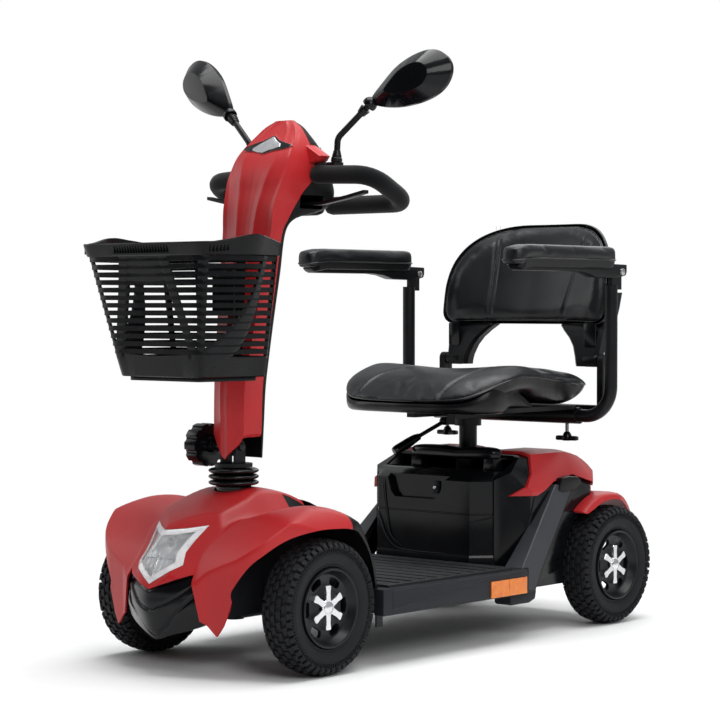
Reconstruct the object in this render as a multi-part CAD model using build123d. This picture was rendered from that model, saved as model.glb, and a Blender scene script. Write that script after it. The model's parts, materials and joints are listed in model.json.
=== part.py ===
"""Four-wheeled mobility scooter.

Millimetres. X points to the rider's left, Y points rearwards, Z points up.
While the pieces are drawn, Y = 0 is the middle of the wheelbase; at the end everything
is moved so that the origin is the bottom centre of the whole machine's box.
"""
from build123d import *
import os
from math import cos, radians, sin

# ---------------------------------------------------------------- driving dimensions
# wheels
wheelbase = 832.0
track = 400.0
tyre_radius = 115.0
tyre_width = 60.0
rim_radius = 67.5
rim_wall = 7.0
axle_radius = 8.0
shaft_radius = 9.0

# fits and gaps
running_gap = 0.05
panel_gap = 1.0

# moulded shells
shell_wall = 4.0
cover_wall = 3.0

# chassis
rail_width = 25.0
rail_height = 28.0
rail_inset = 60.0
rail_bottom = 100.0
beam_depth = 36.0
kingpin_x = 150.0
kingpin_radius = 7.0
steer_arm = 60.0
rod_pin = 4.0
tie_hole_radius = 6.5
column_radius = 12.0
head_tube_wall = 8.0
head_tube_top = 285.0

# floor
floor_half_width = 235.0
floor_front = -290.0
floor_back = 118.0
floor_bottom = 88.0
floor_top = 134.0
tray_gate = 92.0
mat_thickness = 4.0

# front cowl
cowl_split = -358.0
cowl_tip = -622.0
cowl_half_width = 228.0
bellows_radius = 44.0

# tiller
pivot_z = 376.0
bolt_radius = 7.0
cheek_inner = 13.0
cheek_radius = 12.0
mast_radius = 14.0
mast_foot_y = -410.0
mast_foot_z = 400.0
mast_top_z = 812.0
mast_lean = 0.138
knob_radius = 38.0
handle_tube_radius = 11.0
foam_radius = 16.5
handle_half_width = 196.0
handle_front_y = -284.0
handle_front_z = 849.0
handle_rear_y = -181.0
handle_rear_z = 799.0
handle_gap = 24.0

# controls on the tiller head
lever_y = -285.0
lever_z = 799.0
console_low = (0, -215.5, 820.0)
console_tilt = (0, 0.891, 0.454)
dial_stem = 5.0
key_stem = 4.0
key_at = (-28, 66, 0)
horn_at = (28, 66, 0)
horn_radius = 8.0

# mirrors
mirror_x = 105.0
mirror_y = -266.0
mirror_base_z = 870.0
mirror_ball = (170.0, -252.0, 968.0)
mirror_knee = (107.0, -265.0, 912.0)
mirror_yaw = 11.1
mirror_rise = {1: 23.3, -1: 33.9}

# basket
basket_top_z = 725.0
basket_bottom_z = 500.0
basket_rear_y = -448.0
basket_wall = 4.0
receiver_drop = 85.0

# seat
post_y = 234.0
post_radius = 17.5
post_wall = 3.0
socket_wall = 6.5
socket_top = 330.0
seat_plate_z = 402.0
lever_root_z = 392.0
knob_x = 150.0
knob_stem = 4.0
seat_half_width = 205.0
seat_front = 22.0
seat_back = 392.0
arm_x = 253.0
arm_y = 355.0
arm_z = 406.0
arm_tube_radius = 12.5
arm_pivot_y = 375.0
arm_pivot_z = 684.0
back_hinge_y = 408.0
back_hinge_z = 512.0
back_half_width = 205.0
back_bottom_z = 583.0
back_top_z = 784.0

# battery and rear body
box_front = 95.0
box_top = 307.0
box_half_width = 144.0
box_chamfer = 34.0
box_back = 200.0
rear_half_width = 190.0
rear_top = 334.0
rear_end = 500.0
well_gap = 12.0

# ---------------------------------------------------------------- places worked out
# the front and rear groups are drawn about these two axle places, and each is moved
# outwards by the stretch at the end, so a group keeps its shape when the wheelbase changes
front_y = -416.0
rear_y = 416.0
stretch = wheelbase / 2 - rear_y
front_axle = front_y - stretch
rear_axle = rear_y + stretch
axle_z = tyre_radius
wheel_x = track / 2
rail_top = rail_bottom + rail_height
beam_bottom = 95.0
beam_top = 135.0
lug_thickness = 8.0
pivot_y = front_y - 2.0
track_rod_low = beam_bottom - 8
tie_hole_x = rail_inset + rail_width / 2
tie_hole_ys = (-150.0 - stretch, 300.0 + stretch)
receiver_z = basket_top_z - receiver_drop
console = Plane(origin=console_low, x_dir=(-1, 0, 0), z_dir=console_tilt)
SIDES = {"left": 1, "right": -1}


# ---------------------------------------------------------------- small helpers
def block(x0, x1, y0, y1, z0, z1):
    """Box between two corners."""
    return Pos((x0 + x1) / 2, (y0 + y1) / 2, (z0 + z1) / 2) * Box(x1 - x0, y1 - y0, z1 - z0)


def rod(start, end, radius):
    """Round bar between two points."""
    line = Vector(*end) - Vector(*start)
    plane = Plane(origin=start, z_dir=line)
    return extrude(plane * Circle(radius), amount=line.length)


def pipe(start, end, radius, bore):
    """Round tube between two points."""
    return rod(start, end, radius) - rod(start, end, bore)


def outline(points):
    """Face inside a closed run of straight lines."""
    return make_face(Polyline(*points, close=True))


def side_prism(face, x0, x1):
    """Face drawn as (y, z), carried from x0 to x1."""
    return extrude(Plane.YZ.offset(x0) * face, amount=x1 - x0)


def plan_prism(face, z0, z1):
    """Face drawn as (x, y), carried from z0 to z1."""
    return extrude(Plane.XY.offset(z0) * face, amount=z1 - z0)


def front_prism(face, y0, y1):
    """Face drawn as (x, z), carried from y0 to y1."""
    return extrude(Plane.XZ.offset(-y1) * face, amount=y1 - y0)


def inset(face, amount):
    """Face drawn in by an even margin."""
    if amount == 0:
        return face
    return offset(face, amount=-amount, kind=Kind.INTERSECTION)


def both_sides(half):
    """Right-half points, top to bottom, closed with their mirror image."""
    return half + [(-x, v) for x, v in reversed(half) if abs(x) > 1e-6]


def mirrored(shape):
    return mirror(shape, about=Plane.YZ)


def bent_bar(points, radii, radius):
    """Round bar along straight runs joined by arcs."""
    path = FilletPolyline(*points, radius=radii)
    start = Plane(origin=path @ 0, z_dir=path % 0)
    return sweep(start * Circle(radius), path=path)


# ---------------------------------------------------------------- wheels
def tyre():
    half = tyre_width / 2
    crown = tyre_radius - 4.0
    shoulder = tyre_radius - 11.0
    bead = half - 6.0
    right_wall = ThreePointArc((bead, rim_radius), (half, rim_radius + 18.5), (half - 4, shoulder))
    left_wall = ThreePointArc((-half + 4, shoulder), (-half, rim_radius + 18.5), (-bead, rim_radius))
    tread = ThreePointArc((half - 9, crown), (0, tyre_radius), (-half + 9, crown))
    edges = [
        right_wall,
        Line((half - 4, shoulder), (half - 9, crown)),
        tread,
        Line((-half + 9, crown), (-half + 4, shoulder)),
        left_wall,
        Line((-bead, rim_radius), (bead, rim_radius)),
    ]
    return revolve(make_face(edges), axis=Axis.X)


def rim(bore):
    """Black cast rim, outer side towards +X: barrel, six-slot disc and hub."""
    half = tyre_width / 2 - 2.0
    disc_x, disc_thick, hub_radius, slots = 6.0, 8.0, 20.0, 6
    barrel = Rot(0, 90, 0) * (Cylinder(rim_radius, 2 * half) - Cylinder(rim_radius - rim_wall, 2 * half))
    disc = Pos(disc_x, 0, 0) * Rot(0, 90, 0) * Cylinder(rim_radius - rim_wall / 2, disc_thick)
    hub = Pos(-2, 0, 0) * Rot(0, 90, 0) * Cylinder(hub_radius, 2 * half - 8)
    slot = Pos(disc_x, 0, 46.0) * Rot(0, 90, 0) * Cylinder(8.5, 2 * disc_thick)
    holes = [Rot(360 / slots * k, 0, 0) * slot for k in range(slots)]
    body = barrel + disc + hub
    body = body - holes
    if bore:
        body = body - Rot(0, 90, 0) * Cylinder(bore, 4 * half)
    return body


def place_wheel(shape, side, y):
    """Wheel piece drawn with its outer side towards +X, put on its axle."""
    if side < 0:
        shape = mirrored(shape)
    return Pos(side * wheel_x, y, axle_z) * shape


def rear_rim():
    """Rear rim keyed to its half shaft, which runs inwards into the transaxle."""
    shaft_inner = 62.0
    return rim(0) + rod((shaft_inner - wheel_x, 0, 0), (0, 0, 0), shaft_radius)


# ---------------------------------------------------------------- chassis
def kingpin_lugs(side):
    """Two flat lugs that hold one kingpin, with the pin pressed between them."""
    x = side * kingpin_x
    lug_end = tyre_width / 2 - 14.0
    plates = None
    for z in (beam_bottom - 3 - lug_thickness, beam_top + 3):
        plate = block(min(side * 100, x), max(side * 100, x), front_axle - lug_end, front_axle + lug_end,
                      z, z + lug_thickness)
        plate += Pos(x, front_axle, z + lug_thickness / 2) * Cylinder(lug_end, lug_thickness)
        plates = plate if plates is None else plates + plate
    low = beam_bottom - 3 - lug_thickness
    high = beam_top + 3 + lug_thickness
    web = block(min(side * 100, side * 126), max(side * 100, side * 126),
                front_axle - lug_end, front_axle + lug_end, low, high)
    pin = rod((x, front_axle, low), (x, front_axle, high), kingpin_radius)
    return plates + web + pin


def chassis_frame():
    """Welded steel frame: axle beam, head tube, two rails, cross members, seat socket."""
    beam = block(-110, 110, front_axle - beam_depth / 2, front_axle + beam_depth / 2, beam_bottom, beam_top)
    head = rod((0, front_axle, beam_bottom), (0, front_axle, head_tube_top), column_radius + head_tube_wall)
    frame = beam + head
    socket_y = post_y + stretch
    rail_end = rear_axle - 24.0
    for side in SIDES.values():
        x0, x1 = sorted((side * rail_inset, side * (rail_inset + rail_width)))
        frame += block(x0, x1, front_axle, rail_end, rail_bottom, rail_top)
        frame += kingpin_lugs(side)
    for y in (-250.0 - stretch, -60.0, 100.0 + stretch, 190.0 + stretch, socket_y, 350.0 + stretch):
        frame += block(-rail_inset, rail_inset, y - 14, y + 14, rail_bottom, rail_top)
    for side in SIDES.values():
        for y in (-200.0 - stretch, 60.0 + stretch):
            x0, x1 = sorted((side * rail_inset, side * (floor_half_width - 12)))
            frame += block(x0, x1, y - 10, y + 10, rail_bottom + 6, rail_top)
    frame += rod((0, socket_y, rail_bottom), (0, socket_y, socket_top), post_radius + socket_wall)
    gusset = outline([(socket_y, rail_top), (socket_y + 60, rail_top), (socket_y, 250.0)])
    frame += side_prism(gusset, -3, 3)
    frame -= rod((0, front_axle, 0), (0, front_axle, 400), column_radius + running_gap)
    frame -= rod((0, socket_y, rail_bottom + 10), (0, socket_y, 400), post_radius + running_gap)
    return frame - tie_down_holes()


def tie_down_holes():
    """Four vertical holes through the rails for a carrier's tie-down eyes."""
    holes = None
    for side in SIDES.values():
        for y in tie_hole_ys:
            hole = rod((side * tie_hole_x, y, 80), (side * tie_hole_x, y, 140), tie_hole_radius)
            holes = hole if holes is None else holes + hole
    return holes


def knuckle(side):
    """Steering knuckle: barrel on the kingpin, stub axle and steering arm."""
    x = side * kingpin_x
    barrel_radius = 13.0
    low, high = beam_bottom - 2, beam_top + 2
    body = rod((x, front_y, low), (x, front_y, high), barrel_radius)
    stub_end = side * (wheel_x + 24.0)
    body += rod((x, front_y, axle_z), (stub_end, front_y, axle_z), axle_radius)
    body += rod((x, front_y, axle_z), (x + side * 18.0, front_y, axle_z), barrel_radius - 1)
    arm_low = beam_bottom + 3
    body += block(x - 7, x + 7, front_y, front_y + steer_arm, arm_low, arm_low + 8)
    body += Pos(x, front_y + steer_arm, arm_low + 4) * Cylinder(9, 8)
    body += rod((x, front_y + steer_arm, arm_low - 11), (x, front_y + steer_arm, arm_low), rod_pin)
    return body - rod((x, front_y, low - 1), (x, front_y, high + 1), kingpin_radius + running_gap)


def track_rod():
    """Flat bar that joins both knuckle arms and the column's arm."""
    y = front_y + steer_arm
    bar = block(-kingpin_x, kingpin_x, y - 8, y + 8, track_rod_low, track_rod_low + 10)
    for x in (-kingpin_x, kingpin_x):
        bar += Pos(x, y, track_rod_low + 5) * Cylinder(9, 10)
    for x in (-kingpin_x, 0, kingpin_x):
        bar -= Pos(x, y, track_rod_low + 5) * Cylinder(rod_pin + running_gap, 12)
    return bar


def steering_column():
    """Steering shaft with its drop arm below and the fold yoke above."""
    arm_low, arm_high = track_rod_low - 10, track_rod_low - 1
    y_arm = front_y + steer_arm
    yoke_low, yoke_high = 341.0, 347.0
    shaft = rod((0, front_y, arm_low), (0, front_y, yoke_high), column_radius)
    shaft += rod((0, front_y, arm_low), (0, front_y, beam_bottom - 4), 18)
    shaft += block(-9, 9, front_y, y_arm, arm_low, arm_high)
    shaft += Pos(0, y_arm, (arm_low + arm_high) / 2) * Cylinder(9, arm_high - arm_low)
    shaft += rod((0, y_arm, arm_low), (0, y_arm, track_rod_low + 10), rod_pin)
    shaft += rod((0, front_y, head_tube_top + 1), (0, front_y, yoke_high), 20)
    shaft += rod((0, front_y, yoke_low), (0, front_y, yoke_high), 33)
    for side in SIDES.values():
        x0, x1 = sorted((side * cheek_inner, side * (cheek_inner + 6)))
        shaft += block(x0, x1, pivot_y - cheek_radius, pivot_y + cheek_radius, yoke_low, pivot_z)
        shaft += rod((x0, pivot_y, pivot_z), (x1, pivot_y, pivot_z), cheek_radius)
    return shaft - rod((-40, pivot_y, pivot_z), (40, pivot_y, pivot_z), bolt_radius + running_gap)


def bellows():
    """Rubber gaiter round the column, above the cowl."""
    low, neck_height, pitch, folds = 296.0, 13.0, 10.3, 3
    neck = bellows_radius - 13.0
    bore = 21.0
    points = [(bore, low), (neck, low)]
    for k in range(folds):
        z = low + neck_height + k * pitch
        points += [(neck, z), (bellows_radius, z + pitch * 0.4), (bellows_radius, z + pitch * 0.6)]
    top = low + neck_height + folds * pitch
    points += [(neck, top), (bore, top)]
    profile = Plane.XZ * outline(points)
    return Pos(0, front_y, 0) * revolve(profile, axis=Axis.Z)


# ---------------------------------------------------------------- floor
def floor_pan():
    """Footboard tray with deep skirts, open underneath."""
    half, front, back = floor_half_width, floor_front - stretch, floor_back + stretch
    corner = [(half, back), (half, front), (half - 23, front), (half - 27, front + 19)]
    plan = outline(both_sides(corner))
    pan = plan_prism(plan, floor_bottom, floor_top)
    pan -= plan_prism(inset(plan, shell_wall), floor_bottom - 1, floor_top - shell_wall)
    pan -= block(-tray_gate, tray_gate, front + 10, front + 30, 0, floor_top - shell_wall)
    return pan - block(-tray_gate, tray_gate, back - 2 * shell_wall, back + 9, 0, floor_top - shell_wall)


def deck_mat():
    """Ribbed rubber mat on the footboard, turned up at the front."""
    half, front, back = floor_half_width - 13, floor_front + 28 - stretch, floor_back - 30 + stretch
    top = floor_top + mat_thickness
    mat = block(-half, half, front, back, floor_top, top)
    ribs = 9
    for k in range(ribs):
        y = front + 40 + k * (back - front - 78) / (ribs - 1)
        mat += block(-half + 12, half - 12, y - 4, y + 4, top, top + 1.5)
    kick = outline([(front, floor_top), (front, top), (front - 7.5, 154), (front - 16, 181),
                    (front - 21.5, 180), (front - 14, 152), (front - 11.5, floor_top)])
    mat += side_prism(kick, -196, 196)
    return mat - block(-62, 62, front - 138, front + 40, 0, 400)


# ---------------------------------------------------------------- front cowl
def hood_face(floor_z):
    """Hood in side view, with the nose that the bumper continues."""
    return outline([(-604, floor_z), (cowl_tip, 116), (-619, 149), (-594, 205), (-578, 246),
                    (-520, 274), (-460, 295), (-418, 306), (-380, 304), (-340, 294),
                    (-299, 280), (-299, floor_z)])


def hood_section(floor_z):
    """Hood in front view: flat top and sloping shoulders."""
    return outline(both_sides([(50, 310), (108, 250), (112, 200), (112, floor_z)]))


def hood_plan():
    """Hood from above: narrow behind the column."""
    return outline(both_sides([(112, -700), (112, -375), (62, -325), (62, -290)]))


def nose_facets(margin):
    """Half-spaces that slope the hood back on each side of its middle ridge."""
    facets = None
    for side in SIDES.values():
        plane = Plane(origin=(0, -578 + margin, 244), x_dir=(side * 60.8, 44, 7.4),
                      z_dir=(side * 2411, -3829, 2956))
        slab = extrude(plane * Rectangle(900, 900), amount=-500)
        facets = slab if facets is None else facets & slab
    return facets


def fender_face(floor_z):
    """Front fender in side view."""
    return outline([(-604, floor_z), (-610, 120), (-593, 160), (-566, 202), (-534, 234), (-495, 261),
                    (-430, 283), (-388, 279), (-354, 264), (-331, 245), (-313, 224), (-298, 201),
                    (-287, 180), (-279, 148), (-275, 109), (-275, floor_z)])


def fender_section(floor_z):
    """Front fender in front view: a valley beside the hood, a crest and a rolled edge."""
    return outline([(60, 225), (112, 256), (150, 281), (178, 285), (205, 272), (222, 252),
                    (cowl_half_width, 235), (cowl_half_width, floor_z), (60, floor_z)])


def cowl_plan():
    """Front body from above."""
    wide = cowl_half_width
    half = [(0, cowl_tip), (75, -594), (100, -580), (155, -566), (190, -540), (214, -490),
            (wide - 1, -430), (wide, -400), (wide - 6, -352), (208, -320), (208, -270)]
    return outline(half + [(-x, y) for x, y in reversed(half[1:])])


def front_body(margin):
    """Solid inside the front body's skin, drawn in by a margin and open below."""
    floor_z = 60.0 if margin == 0 else 20.0
    plan = plan_prism(inset(cowl_plan(), margin), 10, 330)
    hood = side_prism(inset(hood_face(floor_z), margin), -120, 120)
    hood &= front_prism(inset(hood_section(floor_z), margin), -700, -200)
    hood &= plan_prism(inset(hood_plan(), margin), 10, 330)
    hood &= nose_facets(margin * 1.6)
    fender = side_prism(inset(fender_face(floor_z), margin), 0, 240)
    section = inset(fender_section(floor_z), margin)
    fender &= front_prism(section, -700, -200)
    if margin:
        lower = side_prism(inset(fender_face(floor_z), margin), 40, 90)
        fender += lower & block(40, 90, -700, -200, 0, 225)
    return (hood + fender + mirrored(fender)) & plan


def wheel_well():
    """Room that the left front wheel needs when it turns and steers."""
    well = outline([(-570, 150), (-556, 192), (-537, 214), (-509, 232), (-482, 240), (-445, 246),
                    (-403, 246), (-366, 244), (-338, 240), (-318, 220), (-303, 199), (-292, 178),
                    (-284, 147), (-280, 109), (-280, 0), (-556, 0), (-556, 90)])
    return side_prism(well, 92, 260)


def prong_trim():
    """What is cut off outside the left prong, in front view."""
    return front_prism(outline([(153, 156), (131, 92), (104, 69), (104, 0), (300, 0), (300, 156)]),
                       -700, -500)


def lamp_face(margin):
    """Headlamp outline in front view: a kite with a notched top."""
    half = [(0, 244), (61, 252), (46, 210), (53, 188), (0, 155)]
    return inset(outline(half + [(-x, z) for x, z in reversed(half[1:-1])]), margin)


def bumper_face(margin):
    """Nose bumper outline in front view."""
    half = [(0, 147), (75, 174), (93, 84), (66, 68), (0, 60)]
    return inset(outline(half + [(-x, z) for x, z in reversed(half[1:-1])]), margin)


def tail_solid(margin, floor_z):
    """Short black tail behind the hood."""
    face = outline([(-300, 280), (-253, 263), (-235, 215), (-228, floor_z), (-300, floor_z)])
    return side_prism(inset(face, margin), -56 + margin, 56 - margin)


def front_parts():
    """Red cowl, black liner, lamp lens and bumper, all cut from one skin."""
    skin = front_body(0) - front_body(shell_wall)
    skin -= rod((0, front_y, 200), (0, front_y, 330), bellows_radius - 10)
    lens = skin & front_prism(lamp_face(panel_gap), -700, -500)
    bumper = skin & front_prism(bumper_face(panel_gap), -700, -560)
    skin -= front_prism(lamp_face(0), -700, -500)
    skin -= front_prism(bumper_face(0), -700, -500)
    skin -= block(-92, 92, -700, -500, 0, 84)
    skin -= block(-92, 92, -362, -260, 0, rail_top + 6)
    well, trim = wheel_well(), prong_trim()
    skin = skin - well - mirrored(well) - trim - mirrored(trim)
    red_zone = block(-250, 250, -700, cowl_split, 0, 400) + block(-58, 58, -700, -299, 200, 400)
    cowl = skin & red_zone
    liner = skin - red_zone
    liner -= block(-56, 56, -300, -260, 0, 400)
    tail = tail_solid(0, floor_top) - tail_solid(shell_wall, floor_top - 20)
    tail -= block(-56, 56, -310, -298.9, 0, 400)
    liner += tail
    return {"front_cowl": cowl, "cowl_liner": liner, "headlamp_lens": lens, "nose_bumper": bumper}


# ---------------------------------------------------------------- tiller
# height, front middle, front corner, joint between covers, rear, half width
tiller_levels = [
    (350, -441, -430, -386, -380, 36),
    (480, -442, -427, -382, -372, 38),
    (600, -418, -409, -371, -361, 48),
    (750, -389, -384, -354, -343, 60),
    (768, -386, -383, -343, -326, 61),
    (788, -382, -382, -330, -244, 62),
    (800, -379, -379, -321, -222, 63),
    (820, -373, -372, -307, -217, 66),
    (840, -368, -364, -286, -226, 69),
    (858, -361, -354, -284, -236, 70),
    (880, -348, -346, -284, -247, 68),
    (900, -331, -331, -284, -257, 60),
    (920, -313, -315, -284, -268, 48),
    (935, -301, -303, -284, -275, 36),
    (948, -292, -290, -284, -281, 14),
]


def tiller_slice(level, margin):
    z, front, corner, _, rear, half = level
    half = max(half - margin, 4)
    front, corner, rear = front + margin, corner + margin, rear - margin
    if rear - corner < 3:
        rear = corner + 3
    points = [(half * 0.55, front + (corner - front) * 0.35), (half, corner),
              (half, rear - (rear - corner) * 0.12), (half * 0.85, rear)]
    face = outline([(0, front)] + points + [(-x, y) for x, y in reversed(points)])
    top = margin if z == tiller_levels[-1][0] else 0
    return Plane.XY.offset(z - top) * face


def tiller_body(margin):
    """Tiller casing as a stack of lofted slices."""
    return loft([tiller_slice(level, margin) for level in tiller_levels], ruled=True)


def split_sheet():
    """Everything in front of the joint between the front and rear covers."""
    edge = [(level[3], level[0]) for level in tiller_levels]
    edge = [(edge[0][0], 300)] + edge + [(edge[-1][0], 1000)]
    return side_prism(outline(edge + [(-600, 1000), (-600, 300)]), -120, 120)


def lever_slot():
    """Openings through which the speed lever's arms reach out."""
    return block(-100, 100, lever_y - 30, lever_y + 30, lever_z - 9, lever_z + 13)


def tiller_covers():
    skin = tiller_body(0) - tiller_body(cover_wall)
    skin -= lever_slot()
    skin -= rod((-120, handle_front_y, handle_front_z), (120, handle_front_y, handle_front_z),
                handle_tube_radius + 1)
    skin -= block(-16, 16, -460, -380, receiver_z - 30, receiver_z + 30)
    skin -= rod((-60, pivot_y, pivot_z), (60, pivot_y, pivot_z), bolt_radius + 3)
    chin = front_prism(outline([(0, 355), (40, 400), (40, 300), (-40, 300), (-40, 400)]), -500, -300)
    front_half = split_sheet()
    front = (skin & front_half) - chin
    ear = front_prism(outline([(60, 900), (93, 880), (64, 868), (60, 868)]), -296, -270)
    front += (ear + mirrored(ear)) - tiller_body(0)
    rear = skin - front_half
    rear -= block(-60, 60, -500, -300, 300, 356)
    return {"tiller_front_cover": front, "tiller_rear_cover": rear}


def tiller_mast():
    """Steel mast from the pivot lug to the handlebar clamp, with the basket receiver."""
    def centre(z):
        return mast_foot_y + (z - mast_foot_z) * mast_lean

    foot = (0, centre(mast_foot_z), mast_foot_z)
    top = (0, centre(mast_top_z), mast_top_z)
    mast = rod(foot, top, mast_radius)
    lug = cheek_inner - panel_gap
    mast += block(-lug, lug, pivot_y - 11, pivot_y + 11, pivot_z, mast_foot_z + 12)
    mast += rod((-lug, pivot_y, pivot_z), (lug, pivot_y, pivot_z), 11)
    gusset = outline([(centre(780) - 12, 780), (centre(780) + 12, 780), (handle_front_y + 16, 834),
                      (handle_front_y + 16, 864), (handle_front_y - 16, 864), (centre(812) - 12, 812)])
    mast += side_prism(gusset, -12, 12)
    mast += block(-22, 22, handle_front_y - 16, handle_front_y + 16, handle_front_z - 15,
                  handle_front_z + 15)
    mast += block(-12, 12, basket_rear_y + 10, centre(receiver_z), receiver_z - 25, receiver_z + 25)
    mast += block(-26, 26, basket_rear_y + 6.5, basket_rear_y + 10, receiver_z - 30, receiver_z + 36)
    bracket_z = lever_z - 14
    mast += block(-8, 8, centre(bracket_z), lever_y + 8, bracket_z, bracket_z + 5)
    mast += rod((0, lever_y, bracket_z), (0, lever_y, lever_z + 12), 4)
    mast -= rod((-40, pivot_y, pivot_z), (40, pivot_y, pivot_z), bolt_radius + running_gap)
    return mast - rod((-60, handle_front_y, handle_front_z), (60, handle_front_y, handle_front_z),
                      handle_tube_radius)


def lock_knob():
    """Ribbed hand wheel on the right, whose bolt is the tilt pivot."""
    face, wheel_end, hub_end, ribs = -82.0, -56.0, -41.0, 10
    wheel = rod((face, pivot_y, pivot_z), (wheel_end, pivot_y, pivot_z), knob_radius)
    wheel += rod((wheel_end, pivot_y, pivot_z), (hub_end, pivot_y, pivot_z), 13)
    for k in range(ribs):
        angle = radians(360 / ribs * k)
        y = pivot_y + (knob_radius + 2.5) * sin(angle)
        z = pivot_z + (knob_radius + 2.5) * cos(angle)
        wheel -= rod((face - 1, y, z), (wheel_end + 1, y, z), 6)
    return wheel + rod((hub_end, pivot_y, pivot_z), (24, pivot_y, pivot_z), bolt_radius)


def handle_path():
    """Handlebar centre line: two open loops joined across the tiller head."""
    end = handle_gap / 2
    wide = handle_half_width
    fall = (handle_rear_z - handle_front_z) / (handle_rear_y - handle_front_y)
    corner_y = handle_front_y + 9
    corner_z = handle_front_z + 9 * fall
    half = [(end, handle_rear_y, handle_rear_z), (wide - 2, handle_rear_y, handle_rear_z),
            (wide, corner_y, corner_z), (70, handle_front_y, handle_front_z),
            (0, handle_front_y, handle_front_z)]
    return half, [34.0, 42.0, 60.0]


def handle_half(radius, start=0.0):
    """One loop of the handlebar with a given radius."""
    points, radii = handle_path()
    bar = bent_bar(points, radii, radius)
    if start:
        bar -= block(-10, start, handle_front_y - 40, handle_front_y + 40, 700, 900)
    return bar


def handlebar():
    """Steel handlebar tube with a boss for each mirror arm."""
    loop = handle_half(handle_tube_radius)
    boss = block(mirror_x - 9, mirror_x + 9, handle_front_y + 2, mirror_y + 8,
                 handle_front_z - 4, mirror_base_z - 0.5)
    boss -= rod((mirror_x, mirror_y, 840), (mirror_x, mirror_y, 900), 4 + running_gap)
    bar = loop + boss
    return bar + mirrored(bar)


def handlebar_foam():
    """Foam sleeve on each loop, notched round the mirror boss."""
    sleeve = handle_half(foam_radius, 74.0) - handle_half(handle_tube_radius)
    sleeve -= block(mirror_x - 10, mirror_x + 10, handle_front_y, mirror_y + 9, 830, 900)
    return sleeve + mirrored(sleeve)


def mirror_arm(side):
    """Bent mirror stem that turns in its boss and ends in a ball."""
    foot = (mirror_x, mirror_y, mirror_base_z)
    arm = bent_bar([foot, mirror_knee, mirror_ball], [18.0], 5.5)
    arm += rod(foot, (mirror_x, mirror_y, mirror_base_z + 9), 9)
    arm += rod((mirror_x, mirror_y, mirror_base_z - 18), foot, 4)
    arm += Pos(*mirror_ball) * Sphere(8)
    return arm if side > 0 else mirrored(arm)


def mirror_plane(side):
    """Plane of the glass: local X runs outwards from the ball, Z towards the rider."""
    rise, yaw = radians(mirror_rise[side]), radians(mirror_yaw)
    along = Vector(cos(rise) * cos(yaw), cos(rise) * sin(yaw), sin(rise))
    normal = Vector(0, 1, 0) - along * along.Y
    return Plane(origin=Vector(*mirror_ball) + along * 88, x_dir=along, z_dir=normal)


def mirror_outline(margin):
    """Teardrop seen square on, its narrow end towards the arm."""
    points = [(-84, 2), (-62, 18), (-22, 35), (22, 43), (60, 36), (82, 8), (70, -25), (34, -40),
              (-14, -38), (-58, -21)]
    share = 1 - margin / 43
    return make_face(Spline(*[(x * share, y * share) for x, y in points], periodic=True))


def mirror_head(side):
    """Housing with a socket for the ball, a domed back and a recess for the glass."""
    rim_depth, back_depth, recess = 8.0, 34.0, 4.0
    plane = mirror_plane(side)
    middle = plane * mirror_outline(0)
    back = plane * Pos(4, 2, -back_depth + rim_depth) * mirror_outline(20)
    head = extrude(middle, amount=rim_depth) + loft([middle, back], ruled=True)
    head -= extrude(plane * Pos(0, 0, rim_depth - recess) * mirror_outline(5), amount=recess + 1)
    head += Pos(*mirror_ball) * Sphere(13)
    head -= Pos(*mirror_ball) * Sphere(8 + running_gap)
    toward_arm = Vector(*mirror_knee) - Vector(*mirror_ball)
    mouth = Plane(origin=mirror_ball, z_dir=toward_arm)
    head -= extrude(mouth * Circle(5), amount=30, taper=-18)
    head -= extrude(mouth * Pos(0, 0, 3.5) * Circle(30), amount=30)
    return head if side > 0 else mirrored(head)


def mirror_glass(side):
    glass = extrude(mirror_plane(side) * Pos(0, 0, 4.0) * mirror_outline(6.5), amount=2.5)
    return glass if side > 0 else mirrored(glass)


# ---------------------------------------------------------------- controls
def console_panel():
    """Control panel on the sloping back of the tiller head."""
    face = outline([(-50, 4), (50, 4), (44, 78), (30, 104), (-30, 104), (-44, 78)])
    panel = extrude(console * Pos(0, 0, 0.6) * face, amount=3)
    panel -= extrude(console * Pos(0, 30, 0) * Circle(dial_stem + running_gap), amount=10)
    panel -= extrude(console * Pos(*key_at) * Circle(key_stem + running_gap), amount=10)
    panel -= extrude(console * Pos(*horn_at) * Circle(horn_radius + 0.4), amount=10)
    return panel


def speed_dial():
    dial = extrude(console * Pos(0, 30, 4.2) * Circle(17), amount=11)
    dial += extrude(console * Pos(0, 30, 0.8) * Circle(dial_stem), amount=5)
    return dial + extrude(console * Pos(0, 30, 14) * Rectangle(5, 28), amount=4)


def ignition_key():
    key = extrude(console * Pos(*key_at) * Circle(key_stem), amount=10)
    key += extrude(console * Pos(*key_at) * Pos(0, 0, 5) * Circle(7), amount=4)
    return key + extrude(console * Pos(*key_at) * Pos(0, 0, 9) * Rectangle(4, 22), amount=20)


def horn_button():
    return extrude(console * Pos(*horn_at) * Pos(0, 0, 3.0) * Circle(horn_radius), amount=5)


def speed_lever():
    """Wigwag lever: one bar with a paddle each side, on a vertical pin."""
    hub = rod((0, lever_y, lever_z - 8), (0, lever_y, lever_z + 8), 11)
    arm = outline([(0, lever_z - 4), (92, lever_z - 4), (150, lever_z + 5), (190, lever_z + 13),
                   (190, lever_z + 19), (148, lever_z + 11), (90, lever_z + 2), (0, lever_z + 2)])
    bar = front_prism(arm, lever_y - 7, lever_y + 7)
    lever = hub + bar + mirrored(bar)
    return lever - rod((0, lever_y, lever_z - 30), (0, lever_y, lever_z + 30), 4 + running_gap)


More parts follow.
